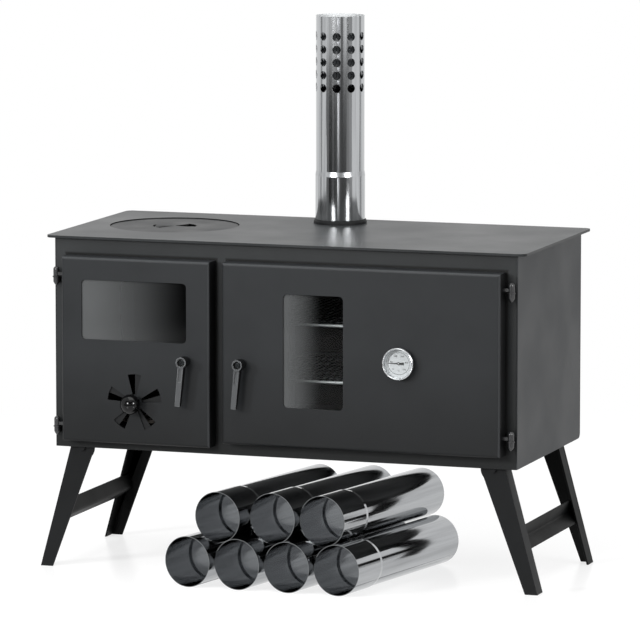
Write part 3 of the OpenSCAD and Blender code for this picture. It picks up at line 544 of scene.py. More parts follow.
        # Painted shade on the rims and in the hole, a painted highlight on the bends and a painted shadow round the
        # doors.
        if self.rim_colour:
            layers.append((self._rims(tree, point), self.rim_colour))
        if self.bend_colour:
            layers.append((self._bends(tree, point), self.bend_colour))
        if self.hole:
            layers.append((self._hole(tree, point), self.hole_colour))
        if self.dark_fields:
            layers.append((self._fields(tree, point), PAINTED_SHADOW))
        ends = {MIX_A: linear(self.colour), MIX_B: linear(self.cloud_colour)}
        colour = add_node(tree, "ShaderNodeMix", COLOURS, ends, {"Factor": cloudy}).outputs[MIX_RESULT]
        for share, over in layers:
            colour = add_node(
                tree, "ShaderNodeMix", COLOURS, {MIX_B: linear(over)}, {"Factor": share, MIX_A: colour}
            ).outputs[MIX_RESULT]
        relief = add_node(
            tree, "ShaderNodeBump", values={"Strength": 1.0, "Distance": self.relief}, links={"Height": grain}
        ).outputs["Normal"]
        return add_node(
            tree,
            "ShaderNodeBsdfPrincipled",
            values={"Specular IOR Level": self.specular},
            links={"Base Color": colour, "Roughness": rough, "Normal": relief},
        ).outputs["BSDF"]


class RollingLine(Enum):
    """The direction of the rolling lines in a sheet, as the pattern's stretch along X, Y and Z."""

    UPRIGHT = (1.0, 1.0, 40.0)
    DEEP = (1.0, 40.0, 1.0)
    ACROSS = (40.0, 1.0, 1.0)


@dataclass(frozen=True)
class RolledSteel(Finish):
    """Bare sheet steel, bright rolled: fine lines and faint long streaks, both along the sheet.

    A lying section has painted shade on its cut ends that face the front. A tube that stands about an axis is grey
    inside, has a painted highlight at its lip, and is duller where its shoulder was swaged.
    """

    name: str
    colour: str
    streak_colour: str
    lines: RollingLine
    turn: float = 0.0
    roughness: float = 0.12
    spread: float = 0.05
    line_size: float = 1.5 * MM
    streak_size: float = 6 * MM
    relief: float = 0.012 * MM
    cut_colour: str = "#7a7c7d"
    axis: tuple[float, float] | tuple[()] = ()
    bore_colour: str = "#7e8082"
    lip_z: float = 0.0
    lip_colour: str = "#e4e6e7"
    lip_roughness: float = 0.7
    swage_roughness: float = 0.27
    streak_span: tuple[float, float] = (0.4, 0.7)
    rough_span: tuple[float, float] = (0.4, 0.68)
    cut_front: tuple[float, float] = (-0.96, -0.9)
    lip_depths: tuple[float, float] = (9 * MM, 6 * MM)
    swage_up: tuple[float, float] = (0.04, 0.12)
    bore_blur: float = 10 * MM

    def _bore(self, tree: bpy.types.NodeTree, point: SurfacePoint) -> bpy.types.NodeSocket:
        """Find the inside of an upright tube.

        Args:
            tree: The material's node tree.
            point: The shaded point.

        Returns:
            1 inside and 0 outside.
        """
        x, y = self.axis
        level = add_node(
            tree,
            "ShaderNodeMapping",
            values={"Location": (-x, -y, 0.0), "Scale": (1.0, 1.0, 0.0)},
            links={"Vector": point.place},
        ).outputs[0]
        outward = add_node(
            tree, "ShaderNodeVectorMath", {"operation": "DOT_PRODUCT"}, links={0: level, 1: point.facing}
        ).outputs["Value"]
        return add_node(
            tree, "ShaderNodeMapRange", values=between(-self.bore_blur, 0.0, 1.0, 0.0), links={"Value": outward}
        ).outputs["Result"]

    def build(self, tree: bpy.types.NodeTree, point: SurfacePoint) -> bpy.types.NodeSocket:
        """Build the bright sheet.

        Args:
            tree: The material's node tree.
            point: The shaded point.

        Returns:
            The shader output.
        """
        along = add_node(
            tree,
            "ShaderNodeMapping",
            {"vector_type": "TEXTURE"},
            {"Scale": self.lines.value, "Rotation": (0.0, 0.0, math.radians(self.turn))},
            {"Vector": point.place},
        ).outputs[0]
        lines, streaks = (
            add_node(
                tree, "ShaderNodeTexNoise", values={"Scale": 1 / size, "Detail": detail}, links={"Vector": along}
            ).outputs["Fac"]
            for size, detail in ((self.line_size, 2.0), (self.streak_size, 3.0))
        )
        streaky, rough = (
            add_node(tree, "ShaderNodeMapRange", values=limits, links={"Value": streaks}).outputs["Result"]
            for limits in (
                between(*self.streak_span),
                between(*self.rough_span, self.roughness, self.roughness + self.spread),
            )
        )
        layers = []
        # Painted shade on the cut ends that face the front.
        if self.lines is RollingLine.DEEP:
            limits = between(*self.cut_front, 1.0, 0.0)
            cut = add_node(tree, "ShaderNodeMapRange", values=limits, links={"Value": point.faces["Y"]}).outputs[0]
            layers.append((cut, self.cut_colour))
        if self.axis:
            bore = self._bore(tree, point)
            # The lip takes a painted highlight.
            limits = between(*(self.lip_z - depth for depth in self.lip_depths))
            top = add_node(tree, "ShaderNodeMapRange", values=limits, links={"Value": point.at["Z"]}).outputs[0]
            lip = add_node(tree, "ShaderNodeMath", {"operation": "MULTIPLY"}, links={0: bore, 1: top}).outputs[0]
            layers += [(bore, self.bore_colour), (lip, self.lip_colour)]
            for place, limits in (
                (point.faces["Z"], between(*self.swage_up, 0.0, self.swage_roughness)),
                (lip, between(*SPOTS, 0.0, self.lip_roughness)),
            ):
                duller = add_node(tree, "ShaderNodeMapRange", values=limits, links={"Value": place}).outputs[0]
                pair = {0: rough, 1: duller}
                rough = add_node(tree, "ShaderNodeMath", {"operation": "MAXIMUM"}, links=pair).outputs[0]
        ends = {MIX_A: linear(self.colour), MIX_B: linear(self.streak_colour)}
        colour = add_node(tree, "ShaderNodeMix", COLOURS, ends, {"Factor": streaky}).outputs[MIX_RESULT]
        for share, over in layers:
            colour = add_node(
                tree, "ShaderNodeMix", COLOURS, {MIX_B: linear(over)}, {"Factor": share, MIX_A: colour}
            ).outputs[MIX_RESULT]
        relief = add_node(
            tree, "ShaderNodeBump", values={"Strength": 0.6, "Distance": self.relief}, links={"Height": lines}
        ).outputs["Normal"]
        return add_node(
            tree,
            "ShaderNodeBsdfPrincipled",
            values={"Metallic": 1.0},
            links={"Base Color": colour, "Roughness": rough, "Normal": relief},
        ).outputs["BSDF"]


@dataclass(frozen=True)
class ZincPlating(Finish):
    """Zinc-plated wire and pressings: bright grey metal with a soft, slightly spangled sheen.

    Where it has a rear colour, the plating behind its front edge is painted darker, as painted shade.
    """

    name: str
    colour: str
    roughness: float = 0.28
    metallic: float = 1.0
    rear_colour: str = ""
    front: float = 0.0
    rear_depths: tuple[float, float] = (4 * MM, 8 * MM)
    spangle: float = 4 * MM
    rough_spread: tuple[float, float] = (-0.05, 0.08)
    relief: float = 0.01 * MM

    def build(self, tree: bpy.types.NodeTree, point: SurfacePoint) -> bpy.types.NodeSocket:
        """Build the plating.

        Args:
            tree: The material's node tree.
            point: The shaded point.

        Returns:
            The shader output.
        """
        spangle = add_node(
            tree, "ShaderNodeTexNoise", values={"Scale": 1 / self.spangle, "Detail": 2.0}, links={"Vector": point.place}
        ).outputs["Fac"]
        rough, rear = (
            add_node(tree, "ShaderNodeMapRange", values=limits, links={"Value": value}).outputs["Result"]
            for value, limits in (
                (spangle, between(*SPOTS, *(self.roughness + change for change in self.rough_spread))),
                (point.at["Y"], between(*(self.front + depth for depth in self.rear_depths))),
            )
        )
        ends = {MIX_A: linear(self.colour), MIX_B: linear(self.rear_colour or self.colour)}
        colour = add_node(tree, "ShaderNodeMix", COLOURS, ends, {"Factor": rear}).outputs[MIX_RESULT]
        relief = add_node(
            tree, "ShaderNodeBump", values={"Strength": 0.5, "Distance": self.relief}, links={"Height": spangle}
        ).outputs["Normal"]
        return add_node(
            tree,
            "ShaderNodeBsdfPrincipled",
            values={"Metallic": self.metallic},
            links={"Base Color": colour, "Roughness": rough, "Normal": relief},
        ).outputs["BSDF"]


@dataclass(frozen=True)
class OvenSteel(Finish):
    """Aluminised oven sheet, browned by heat: dull metal with darker bloom in patches."""

    name: str
    colour: str
    bloom_colour: str
    bloom: float = 120 * MM
    grain: float = 2 * MM
    relief: float = 0.015 * MM
    roughness: tuple[float, float] = (0.42, 0.6)
    metallic: float = 0.85

    def build(self, tree: bpy.types.NodeTree, point: SurfacePoint) -> bpy.types.NodeSocket:
        """Build the oven sheet.

        Args:
            tree: The material's node tree.
            point: The shaded point.

        Returns:
            The shader output.
        """
        along = add_node(
            tree,
            "ShaderNodeMapping",
            {"vector_type": "TEXTURE"},
            {"Scale": RollingLine.ACROSS.value},
            {"Vector": point.place},
        ).outputs[0]
        bloom, grain = (
            add_node(
                tree, "ShaderNodeTexNoise", values={"Scale": 1 / size, "Detail": detail}, links={"Vector": place}
            ).outputs["Fac"]
            for size, detail, place in ((self.bloom, 4.0, point.place), (self.grain, 2.0, along))
        )
        browned, rough = (
            add_node(tree, "ShaderNodeMapRange", values=limits, links={"Value": bloom}).outputs["Result"]
            for limits in (between(*SPOTS), between(*SPOTS, *self.roughness))
        )
        ends = {MIX_A: linear(self.colour), MIX_B: linear(self.bloom_colour)}
        colour = add_node(tree, "ShaderNodeMix", COLOURS, ends, {"Factor": browned}).outputs[MIX_RESULT]
        relief = add_node(
            tree, "ShaderNodeBump", values={"Strength": 0.6, "Distance": self.relief}, links={"Height": grain}
        ).outputs["Normal"]
        return add_node(
            tree,
            "ShaderNodeBsdfPrincipled",
            values={"Metallic": self.metallic},
            links={"Base Color": colour, "Roughness": rough, "Normal": relief},
        ).outputs["BSDF"]


@dataclass(frozen=True)
class CastIron(Finish):
    """Grey iron cast in sand: a coarse dark skin with a dusting of ash."""

    name: str
    colour: str
    ash_colour: str
    ash: float = 25 * MM
    ash_span: tuple[float, float] = (0.45, 0.7)
    ash_share: float = 0.7
    sand: float = 1.8 * MM
    relief: float = 0.25 * MM
    roughness: tuple[float, float] = (0.6, 0.85)
    metallic: float = 0.3

    def build(self, tree: bpy.types.NodeTree, point: SurfacePoint) -> bpy.types.NodeSocket:
        """Build the cast skin.

        Args:
            tree: The material's node tree.
            point: The shaded point.

        Returns:
            The shader output.
        """
        ash, sand = (
            add_node(
                tree, "ShaderNodeTexNoise", values={"Scale": 1 / size, "Detail": detail}, links={"Vector": point.place}
            ).outputs["Fac"]
            for size, detail in ((self.ash, 5.0), (self.sand, 3.0))
        )
        dusted, rough = (
            add_node(tree, "ShaderNodeMapRange", values=limits, links={"Value": value}).outputs["Result"]
            for value, limits in (
                (ash, between(*self.ash_span, 0.0, self.ash_share)),
                (sand, between(*SPOTS, *self.roughness)),
            )
        )
        ends = {MIX_A: linear(self.colour), MIX_B: linear(self.ash_colour)}
        colour = add_node(tree, "ShaderNodeMix", COLOURS, ends, {"Factor": dusted}).outputs[MIX_RESULT]
        relief = add_node(
            tree, "ShaderNodeBump", values={"Strength": 0.8, "Distance": self.relief}, links={"Height": sand}
        ).outputs["Normal"]
        return add_node(
            tree,
            "ShaderNodeBsdfPrincipled",
            values={"Metallic": self.metallic},
            links={"Base Color": colour, "Roughness": rough, "Normal": relief},
        ).outputs["BSDF"]


@dataclass(frozen=True)
class SootedGlass(Finish):
    """Ceramic stove glass: clear and glossy at its right, with a painted reflection, a grey film, towards its left."""

    name: str
    clear_tint: str
    haze_colour: str
    haze_from: float
    haze_to: float
    haze: float = 0.85
    haze_roughness: float = 0.55
    cloud: float = 70 * MM
    cloud_share: tuple[float, float] = (0.94, 1.0)
    shine_colour: str = "#9a9a9a"
    shine_roughness: float = 0.05
    shine: tuple[float, float] = (0.025, 0.6)

    def build(self, tree: bpy.types.NodeTree, point: SurfacePoint) -> bpy.types.NodeSocket:
        """Build the pane, with the painted reflection's haze between haze_from and haze_to along X.

        Args:
            tree: The material's node tree.
            point: The shaded point.

        Returns:
            The shader output.
        """
        ramp = add_node(
            tree,
            "ShaderNodeMapRange",
            {"interpolation_type": "SMOOTHSTEP"},
            between(self.haze_from, self.haze_to, self.haze, 0.0),
            {"Value": point.at["X"]},
        ).outputs["Result"]
        cloud = add_node(
            tree, "ShaderNodeTexNoise", values={"Scale": 1 / self.cloud, "Detail": 3.0}, links={"Vector": point.place}
        ).outputs["Fac"]
        patchy = add_node(
            tree, "ShaderNodeMapRange", values=between(*SPOTS, *self.cloud_share), links={"Value": cloud}
        ).outputs["Result"]
        share = add_node(tree, "ShaderNodeMath", {"operation": "MULTIPLY"}, links={0: ramp, 1: patchy}).outputs[0]
        clear = add_node(tree, "ShaderNodeBsdfTransparent", values={"Color": linear(self.clear_tint)}).outputs[0]
        values = {"Base Color": linear(self.haze_colour), "Roughness": self.haze_roughness}
        film = add_node(tree, "ShaderNodeBsdfPrincipled", values=values).outputs[0]
        body = add_node(tree, "ShaderNodeMixShader", links={0: share, 1: clear, 2: film}).outputs[0]
        values = {"Color": linear(self.shine_colour), "Roughness": self.shine_roughness}
        shine = add_node(tree, "ShaderNodeBsdfGlossy", values=values).outputs[0]
        edge = edge_shine(tree, *self.shine)
        return add_node(tree, "ShaderNodeMixShader", links={0: edge, 1: body, 2: shine}).outputs[0]


@dataclass(frozen=True)
class GaugeGlass(Finish):
    """A thin clear cover glass: almost all light passes, with a soft mirror at its edge."""

    name: str
    clear_tint: str = "#fbfcfc"
    shine_colour: str = "#c8c8c8"
    shine: tuple[float, float] = (0.02, 0.5)
    smear: float = 8 * MM
    roughness: tuple[float, float] = (0.03, 0.07)

    def build(self, tree: bpy.types.NodeTree, point: SurfacePoint) -> bpy.types.NodeSocket:
        """Build the cover.

        Args:
            tree: The material's node tree.
            point: The shaded point.

        Returns:
            The shader output.
        """
        smear = add_node(
            tree, "ShaderNodeTexNoise", values={"Scale": 1 / self.smear, "Detail": 2.0}, links={"Vector": point.place}
        ).outputs["Fac"]
        rough = add_node(
            tree, "ShaderNodeMapRange", values=between(*SPOTS, *self.roughness), links={"Value": smear}
        ).outputs["Result"]
        clear = add_node(tree, "ShaderNodeBsdfTransparent", values={"Color": linear(self.clear_tint)}).outputs[0]
        shine = add_node(
            tree, "ShaderNodeBsdfGlossy", values={"Color": linear(self.shine_colour)}, links={"Roughness": rough}
        ).outputs[0]
        edge = edge_shine(tree, *self.shine)
        return add_node(tree, "ShaderNodeMixShader", links={0: edge, 1: clear, 2: shine}).outputs[0]


@dataclass(frozen=True)
class GlassFibreRope(Finish):
    """Knitted glass-fibre rope: dull, greyed white with a diagonal knit about 3 mm apart."""

    name: str
    colour: str
    shade_colour: str
    knit: float = 3 * MM
    # How far apart the diagonal bands of a wave of scale 1 are, in metres.
    unit_bands: float = 0.31
    strand_span: tuple[float, float] = (0.2, 0.8)
    relief: float = 0.5 * MM
    roughness: float = 0.9
    specular: float = 0.2

    def build(self, tree: bpy.types.NodeTree, point: SurfacePoint) -> bpy.types.NodeSocket:
        """Build the knit, from two sets of diagonal bands that cross.

        Args:
            tree: The material's node tree.
            point: The shaded point.

        Returns:
            The shader output.
        """
        bands = []
        for turn in (0, 90):
            turned = add_node(
                tree,
                "ShaderNodeMapping",
                values={"Rotation": (0.0, math.radians(turn), 0.0)},
                links={"Vector": point.place},
            ).outputs[0]
            band = add_node(
                tree,
                "ShaderNodeTexWave",
                {"bands_direction": "DIAGONAL"},
                {"Scale": self.unit_bands / self.knit, "Distortion": 0.6, "Detail": 1.0},
                {"Vector": turned},
            )
            bands.append(band.outputs["Fac"])
        knit = add_node(tree, "ShaderNodeMath", {"operation": "MAXIMUM"}, links={0: bands[0], 1: bands[1]}).outputs[0]
        limits = between(*self.strand_span)
        raised = add_node(tree, "ShaderNodeMapRange", values=limits, links={"Value": knit}).outputs["Result"]
        ends = {MIX_A: linear(self.shade_colour), MIX_B: linear(self.colour)}
        colour = add_node(tree, "ShaderNodeMix", COLOURS, ends, {"Factor": raised}).outputs[MIX_RESULT]
        relief = add_node(
            tree, "ShaderNodeBump", values={"Strength": 1.0, "Distance": self.relief}, links={"Height": knit}
        ).outputs["Normal"]
        return add_node(
            tree,
            "ShaderNodeBsdfPrincipled",
            values={"Roughness": self.roughness, "Specular IOR Level": self.specular},
            links={"Base Color": colour, "Normal": relief},
        ).outputs["BSDF"]


@dataclass(frozen=True)
class Enamel(Finish):
    """A baked gloss or satin enamel or moulding: even colour, with a trace of orange peel and pale flecks."""

    name: str
    colour: str
    roughness: float
    peel: float = 0.008 * MM
    specular: float = 0.5
    fleck: float = 0.05
    fleck_colour: str = "#8a8a8a"
    peel_size: float = 2.5 * MM

    def build(self, tree: bpy.types.NodeTree, point: SurfacePoint) -> bpy.types.NodeSocket:
        """Build the enamel.

        Args:
            tree: The material's node tree.
            point: The shaded point.

        Returns:
            The shader output.
        """
        values = {"Scale": 1 / self.peel_size, "Detail": 1.0}
        peel = add_node(tree, "ShaderNodeTexNoise", values=values, links={"Vector": point.place}).outputs["Fac"]
        share = add_node(
            tree, "ShaderNodeMapRange", values=between(*SPOTS, 0.0, self.fleck), links={"Value": peel}
        ).outputs["Result"]
        ends = {MIX_A: linear(self.colour), MIX_B: linear(self.fleck_colour)}
        colour = add_node(tree, "ShaderNodeMix", COLOURS, ends, {"Factor": share}).outputs[MIX_RESULT]
        relief = add_node(
            tree, "ShaderNodeBump", values={"Strength": 0.5, "Distance": self.peel}, links={"Height": peel}
        ).outputs["Normal"]
        return add_node(
            tree,
            "ShaderNodeBsdfPrincipled",
            values={"Roughness": self.roughness, "Specular IOR Level": self.specular},
            links={"Base Color": colour, "Normal": relief},
        ).outputs["BSDF"]


@dataclass(frozen=True)
class CoatedCasting(Finish):
    """A cast lever in black stove enamel, a painted satin grey reflection on its front, painted highlights on its
    edges.
    """

    name: str
    colour: str
    face_colour: str
    edge_colour: str
    front: float
    hub: tuple[float, float]
    recess_r: float = 6.3 * MM
    recess_blur: float = 0.3 * MM
    face_depths: tuple[float, float] = (1.2 * MM, 1.6 * MM)
    edge_front: tuple[float, float] = (-0.75, -0.5)
    face_front: tuple[float, float] = (-0.998, -0.98)
    grain: float = 1.2 * MM
    grain_colour: str = "#4c4d4e"
    grain_share: float = 0.4
    relief: float = 0.03 * MM
    roughness: tuple[float, float] = (0.36, 0.5)
    specular: float = 0.25

    def build(self, tree: bpy.types.NodeTree, point: SurfacePoint) -> bpy.types.NodeSocket:
        """Build the casting, which stays black on its sides and, as painted shade, in the hub's deep recess.

        Args:
            tree: The material's node tree.
            point: The shaded point.

        Returns:
            The shader output.
        """
        x, z = self.hub
        level = add_node(
            tree,
            "ShaderNodeMapping",
            values={"Location": (-x, 0.0, -z), "Scale": (1.0, 0.0, 1.0)},
            links={"Vector": point.place},
        ).outputs[0]
        away = add_node(tree, "ShaderNodeVectorMath", {"operation": "LENGTH"}, links={0: level}).outputs["Value"]
        grain = add_node(
            tree, "ShaderNodeTexNoise", values={"Scale": 1 / self.grain, "Detail": 2.0}, links={"Vector": point.place}
        ).outputs["Fac"]
        shallow, outside, ahead, flat, grainy, rough = (
            add_node(tree, "ShaderNodeMapRange", values=limits, links={"Value": value}).outputs["Result"]
            for value, limits in (
                (point.at["Y"], between(*(self.front + depth for depth in self.face_depths), 1.0, 0.0)),
                (away, between(self.recess_r, self.recess_r + self.recess_blur)),
                (point.faces["Y"], between(*self.edge_front, 1.0, 0.0)),
                (point.faces["Y"], between(*self.face_front, 1.0, 0.0)),
                (grain, between(*SPOTS, 0.0, self.grain_share)),
                (grain, between(*SPOTS, *self.roughness)),
            )
        )
        proud = add_node(tree, "ShaderNodeMath", {"operation": "MAXIMUM"}, links={0: shallow, 1: outside}).outputs[0]
        face = add_node(tree, "ShaderNodeMath", {"operation": "MULTIPLY"}, links={0: proud, 1: ahead}).outputs[0]
        ends = {MIX_A: linear(self.face_colour), MIX_B: linear(self.grain_colour)}
        satin = add_node(tree, "ShaderNodeMix", COLOURS, ends, {"Factor": grainy}).outputs[MIX_RESULT]
        # A painted highlight on the front edges, over the painted reflection on the face.
        edge_lit = add_node(
            tree, "ShaderNodeMix", COLOURS, {MIX_A: linear(self.edge_colour)}, {"Factor": flat, MIX_B: satin}
        ).outputs[MIX_RESULT]
        colour = add_node(
            tree, "ShaderNodeMix", COLOURS, {MIX_A: linear(self.colour)}, {"Factor": face, MIX_B: edge_lit}
        ).outputs[MIX_RESULT]
        relief = add_node(
            tree, "ShaderNodeBump", values={"Strength": 1.0, "Distance": self.relief}, links={"Height": grain}
        ).outputs["Normal"]
        return add_node(
            tree,
            "ShaderNodeBsdfPrincipled",
            values={"Specular IOR Level": self.specular},
            links={"Base Color": colour, "Roughness": rough, "Normal": relief},
        ).outputs["BSDF"]


# How far the stack of spare sections is turned from the stove's own depth, in degrees.
STACK_TURN = 10.7
# Sprayed silicone paint. The front has painted shade on its folded rims and foot and a painted highlight on its bends;
# the right side is painted paler, as painted light, and a little smoother, the lid is smoother still, with painted
# shade on its edges, and the legs and seats are the driest and blackest.
BODY_PAINT = HeatProofPaint("body_paint_black", "#2b2d2e", "#333536")
# Painted shade on the doors' rims and foot, and a painted highlight on their bends.
FRONT_PAINT = HeatProofPaint(
    "front_paint_black", "#232527", "#292b2d", rim_colour="#0c0d0e", bend_colour="#3e4042", foot_colour="#070808"
)
# Painted light: the right side is painted paler than the front.
LIT_SIDE_PAINT = HeatProofPaint("side_paint_black_lit", "#3d3f41", "#454749", roughness=0.45, specular=0.15)
# Painted shade on all of the lid's edges, so that its gap and its cut read dark.
LID_PAINT = HeatProofPaint(
    "lid_paint_grey",
    "#161819",
    "#1f2122",
    roughness=0.42,
    specular=0.16,
    cloud=60 * MM,
    rim_colour="#0a0b0b",
    rim_ahead=True,
)
LEG_PAINT = HeatProofPaint("leg_paint_black", "#1a1b1c", "#202122", roughness=0.5, specular=0.13)
# Painted shade: the rear legs and the crossbars are painted blacker and drier than the front legs.
SHADED_LEG_PAINT = HeatProofPaint("shaded_leg_paint_black", "#090a0a", "#0e0f0f", roughness=0.5, specular=0.08)
DARK_PAINT = HeatProofPaint("seat_paint_black", "#131415", "#1a1b1c", roughness=0.6)
# Stainless sheet, bright rolled: near mirror, with lines along the section.
STACK_STEEL = RolledSteel("section_stainless", "#acaeb0", "#a0a2a4", RollingLine.DEEP, -STACK_TURN, roughness=0.08)
# A roller-welded seam: duller and paler than the sheet on both sides of it.
SEAM_STEEL = RolledSteel("seam_weld_stainless", "#a4a6a8", "#94969a", RollingLine.UPRIGHT, roughness=0.42)
# Zinc plate on small fittings, bright on the gauge's case, blackened on the hub screws.
FITTING_ZINC = ZincPlating("fitting_zinc", "#a9abad", 0.32)
CASE_STEEL = ZincPlating("gauge_case_steel", "#cfd1d3", 0.26)
SCREW_STEEL = ZincPlating("hub_screw_blackened", "#2c2e2f", 0.3)
# The inside: browned aluminised sheet, ashy grey iron and greyed rope.
LINER_STEEL = OvenSteel("oven_liner_steel", "#3a3b3b", "#242322")
GRATE_IRON = CastIron("grate_cast_iron", "#3c3835", "#7c7772")
ROPE = GlassFibreRope("seal_glass_rope", "#b9b4aa", "#6f6a62")
# Oiled black hinges, a moulded phenolic knob with a mirror gloss, and the gauge's printed enamel.
HINGE_BLACK = Enamel("hinge_black", "#1d1e20", 0.3, specular=0.7)
KNOB_BLACK = Enamel("knob_phenolic_black", "#040405", 0.06, peel=0.0, specular=0.27, fleck=0.0)
DIAL_WHITE = Enamel("dial_enamel_white", "#e8e9eb", 0.4, fleck=0.02)
MARK_BLACK = Enamel("dial_mark_black", "#1c1c1d", 0.5)
MARK_GREY = Enamel("dial_mark_grey", "#8d8f90", 0.5)
GAUGE_GLASS = GaugeGlass("gauge_cover_glass")


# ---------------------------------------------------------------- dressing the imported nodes


DRESSES: tuple[tuple[Finish, tuple[str, ...]], ...] = (
    (FRONT_PAINT, ("firebox_door", "oven_door")),
    (BODY_PAINT, ("back_panel", "bottom_panel", "left_panel")),
    (LIT_SIDE_PAINT, ("right_panel",)),
    (LID_PAINT, ("cook_lid",)),
    (DARK_PAINT, ("lid_ring", "flue_collar", "damper_disc", "firebox_glass_clips", "oven_glass_clips")),
    (LEG_PAINT, ("leg_brackets", "leg_bolts", "left_front_leg", "right_front_leg")),
    (SHADED_LEG_PAINT, ("left_rear_leg", "left_crossbar", "right_rear_leg", "right_crossbar")),
    (STACK_STEEL, tuple(f"spare_pipe_{i}" for i in range(1, 8))),
    (FITTING_ZINC, ("firebox_latch", "oven_latch", "damper_stud")),
    (CASE_STEEL, ("thermometer_case",)),
    (LINER_STEEL, ("oven_left_wall", "oven_right_wall", "oven_floor", "oven_roof", "oven_back", "rack_runners")),
    (GRATE_IRON, ("firebox_grate", "grate_rails")),
    (HINGE_BLACK, ("firebox_hinge_pins", "firebox_hinge_knuckles", "oven_hinge_pins", "oven_hinge_knuckles")),
    (KNOB_BLACK, ("damper_knob",)),
    (DIAL_WHITE, ("thermometer_dial",)),
    (MARK_BLACK, ("thermometer_needle",)),
    (GAUGE_GLASS, ("thermometer_glass",)),
)

# The nodes whose sheet edges show, with the radius of their rounding.
EASED = {
    "top_plate": 0.8 * MM,
    "chimney_pipe": 0.3 * MM,
    "front_frame": 0.9 * MM,
    "left_panel": 0.6 * MM,
    "right_panel": 0.6 * MM,
    "back_panel": 0.5 * MM,
    "cook_lid": 0.5 * MM,
    "firebox_handle": 0.9 * MM,
    "oven_handle": 0.9 * MM,
    "left_front_leg": 0.6 * MM,
    "left_rear_leg": 0.6 * MM,
    "right_front_leg": 0.6 * MM,
    "right_rear_leg": 0.6 * MM,
    "left_crossbar": 0.6 * MM,
    "right_crossbar": 0.6 * MM,
}


@dataclass
class PackedNodes:
    """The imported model's own nodes: finishes on each, and rounded sheet edges on those that show them."""

    nodes: Mapping[str, bpy.types.Object]
    shoulder_angle: float = 6.0
    shade_line: float = 2.5 * MM
    hole_edge: float = 3 * MM
    weld_distance: float = 0.005 * MM
    flat_angle: float = 1.0

    def dress(self) -> None:
        """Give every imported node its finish."""
        for finish, names in DRESSES:
            for name in names:
                self._paint(name, finish)
        self._dress_glass()
        self._dress_frame()
        self._dress_racks()
        self._dress_chimney()
        self._dress_plate()
        self._dress_levers()
        LOG.info("finishes on %d packed nodes", len(self.nodes))

    def _paint(self, name: str, finish: Finish) -> None:
        """Put one finish on one node.

        Args:
            name: The node.
            finish: Its finish.
        """
        data = self.nodes[name].data
        data.materials.clear()
        data.materials.append(finish.material())

    def _dress_glass(self) -> None:
        """Haze both panes from the left with a painted reflection: the firebox's all the way across, the oven's over
        part of it.
        """
        for name, tint, share in (("firebox_glass", "#b8babb", 1.0), ("oven_glass", "#eef0f0", 0.62)):
            low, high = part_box(name)
            haze_to = low.x + share * (high.x - low.x)
            # A painted reflection: a grey film that fades out from the left.
            self._paint(name, SootedGlass(f"{name}_painted_reflection", tint, "#5b5d5e", low.x, haze_to))

    def _dress_frame(self) -> None:
        """Paint the front frame, with a painted shadow behind the doors and in a thin line round them, and painted
        shade at its foot.
        """
        fields = []
        for name in ("firebox_door", "oven_door"):
            low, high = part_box(name)
            line = self.shade_line
            fields.append((low.x - line, high.x + line, low.z - line, high.z + line))
        paint = HeatProofPaint(
            "frame_paint_black", "#2c2e2f", "#343637", foot_colour="#0c0e0e", dark_fields=tuple(fields)
        )
        self._paint("front_frame", paint)

    def _dress_racks(self) -> None:
        """Plate the racks, bright in front, with painted shade behind."""
        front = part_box("upper_rack")[0].y
        # Painted shade on the racks behind their front edge.
        wire = ZincPlating("rack_wire_zinc", "#ffffff", 0.38, 0.2, rear_colour="#7c7e80", front=front)
        for name in ("upper_rack", "lower_rack"):
            self._paint(name, wire)

    def _dress_chimney(self) -> None:
        """Leave the chimney bare, bright outside and dull inside."""
        low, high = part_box("chimney_pipe")
        axis = ((low.x + high.x) / 2, (low.y + high.y) / 2)
        steel = RolledSteel(
            "chimney_stainless", "#b8babc", "#a3a5a7", RollingLine.UPRIGHT, roughness=0.09, axis=axis, lip_z=high.z
        )
        self._paint("chimney_pipe", steel)

    def _dress_plate(self) -> None:
        """Paint the cooking plate, with painted shade on the wall of the hole round the lid."""
        low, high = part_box("cook_lid")
        hole = ((low.x + high.x) / 2, (low.y + high.y) / 2, (high.x - low.x) / 2 + self.hole_edge)
        plate = HeatProofPaint(
            "plate_paint_grey", "#2c2e2f", "#3a3c3d", roughness=0.36, specular=0.14, cloud=160 * MM, hole=hole
        )
        self._paint("top_plate", plate)

    def _dress_levers(self) -> None:
        """Coat each clamping lever, with a painted reflection on its own front."""
        for name in ("firebox_handle", "oven_handle"):
            low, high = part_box(name)
            hub = (high.x - HubScrew.hub_r, high.z - HubScrew.hub_r)
            # Painted reflection on each lever's front, painted highlights on its edges.
            self._paint(name, CoatedCasting(f"{name}_black", "#0b0c0d", "#5e6062", "#c4c6c8", low.y, hub))

    def soften(self, bodies: Mapping[str, Sequence[str]]) -> None:
        """Stand a copy with rounded edges in for each node that shows its sheet edges.

        Args:
            bodies: The nodes of each body.
        """
        owner = {node: body for body, members in bodies.items() for node in members}
        for name, width in EASED.items():
            source = self.nodes[name]
            copy = source.copy()
            copy.data = source.data.copy()
            copy.parent = None
            for key in [k for k in copy.keys() if k.startswith("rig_")]:
                del copy[key]
            bpy.context.scene.collection.objects.link(copy)
            copy.name = copy.data.name = f"{name}_eased"
            only(copy)
            bpy.ops.mesh.customdata_custom_splitnormals_clear()
            with editing(copy):
                bpy.ops.mesh.remove_doubles(threshold=self.weld_distance)
                bpy.ops.mesh.dissolve_limited(angle_limit=math.radians(self.flat_angle))
            apply_bevel(copy, width)
            if name == "chimney_pipe":
                settle(copy, self.shoulder_angle)
            else:
                flatten_shading(settle(copy))
            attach(copy, owner[name])
            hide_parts(name)
        LOG.info("rounded edges on %d sheet parts", len(EASED))


# ---------------------------------------------------------------- small parts


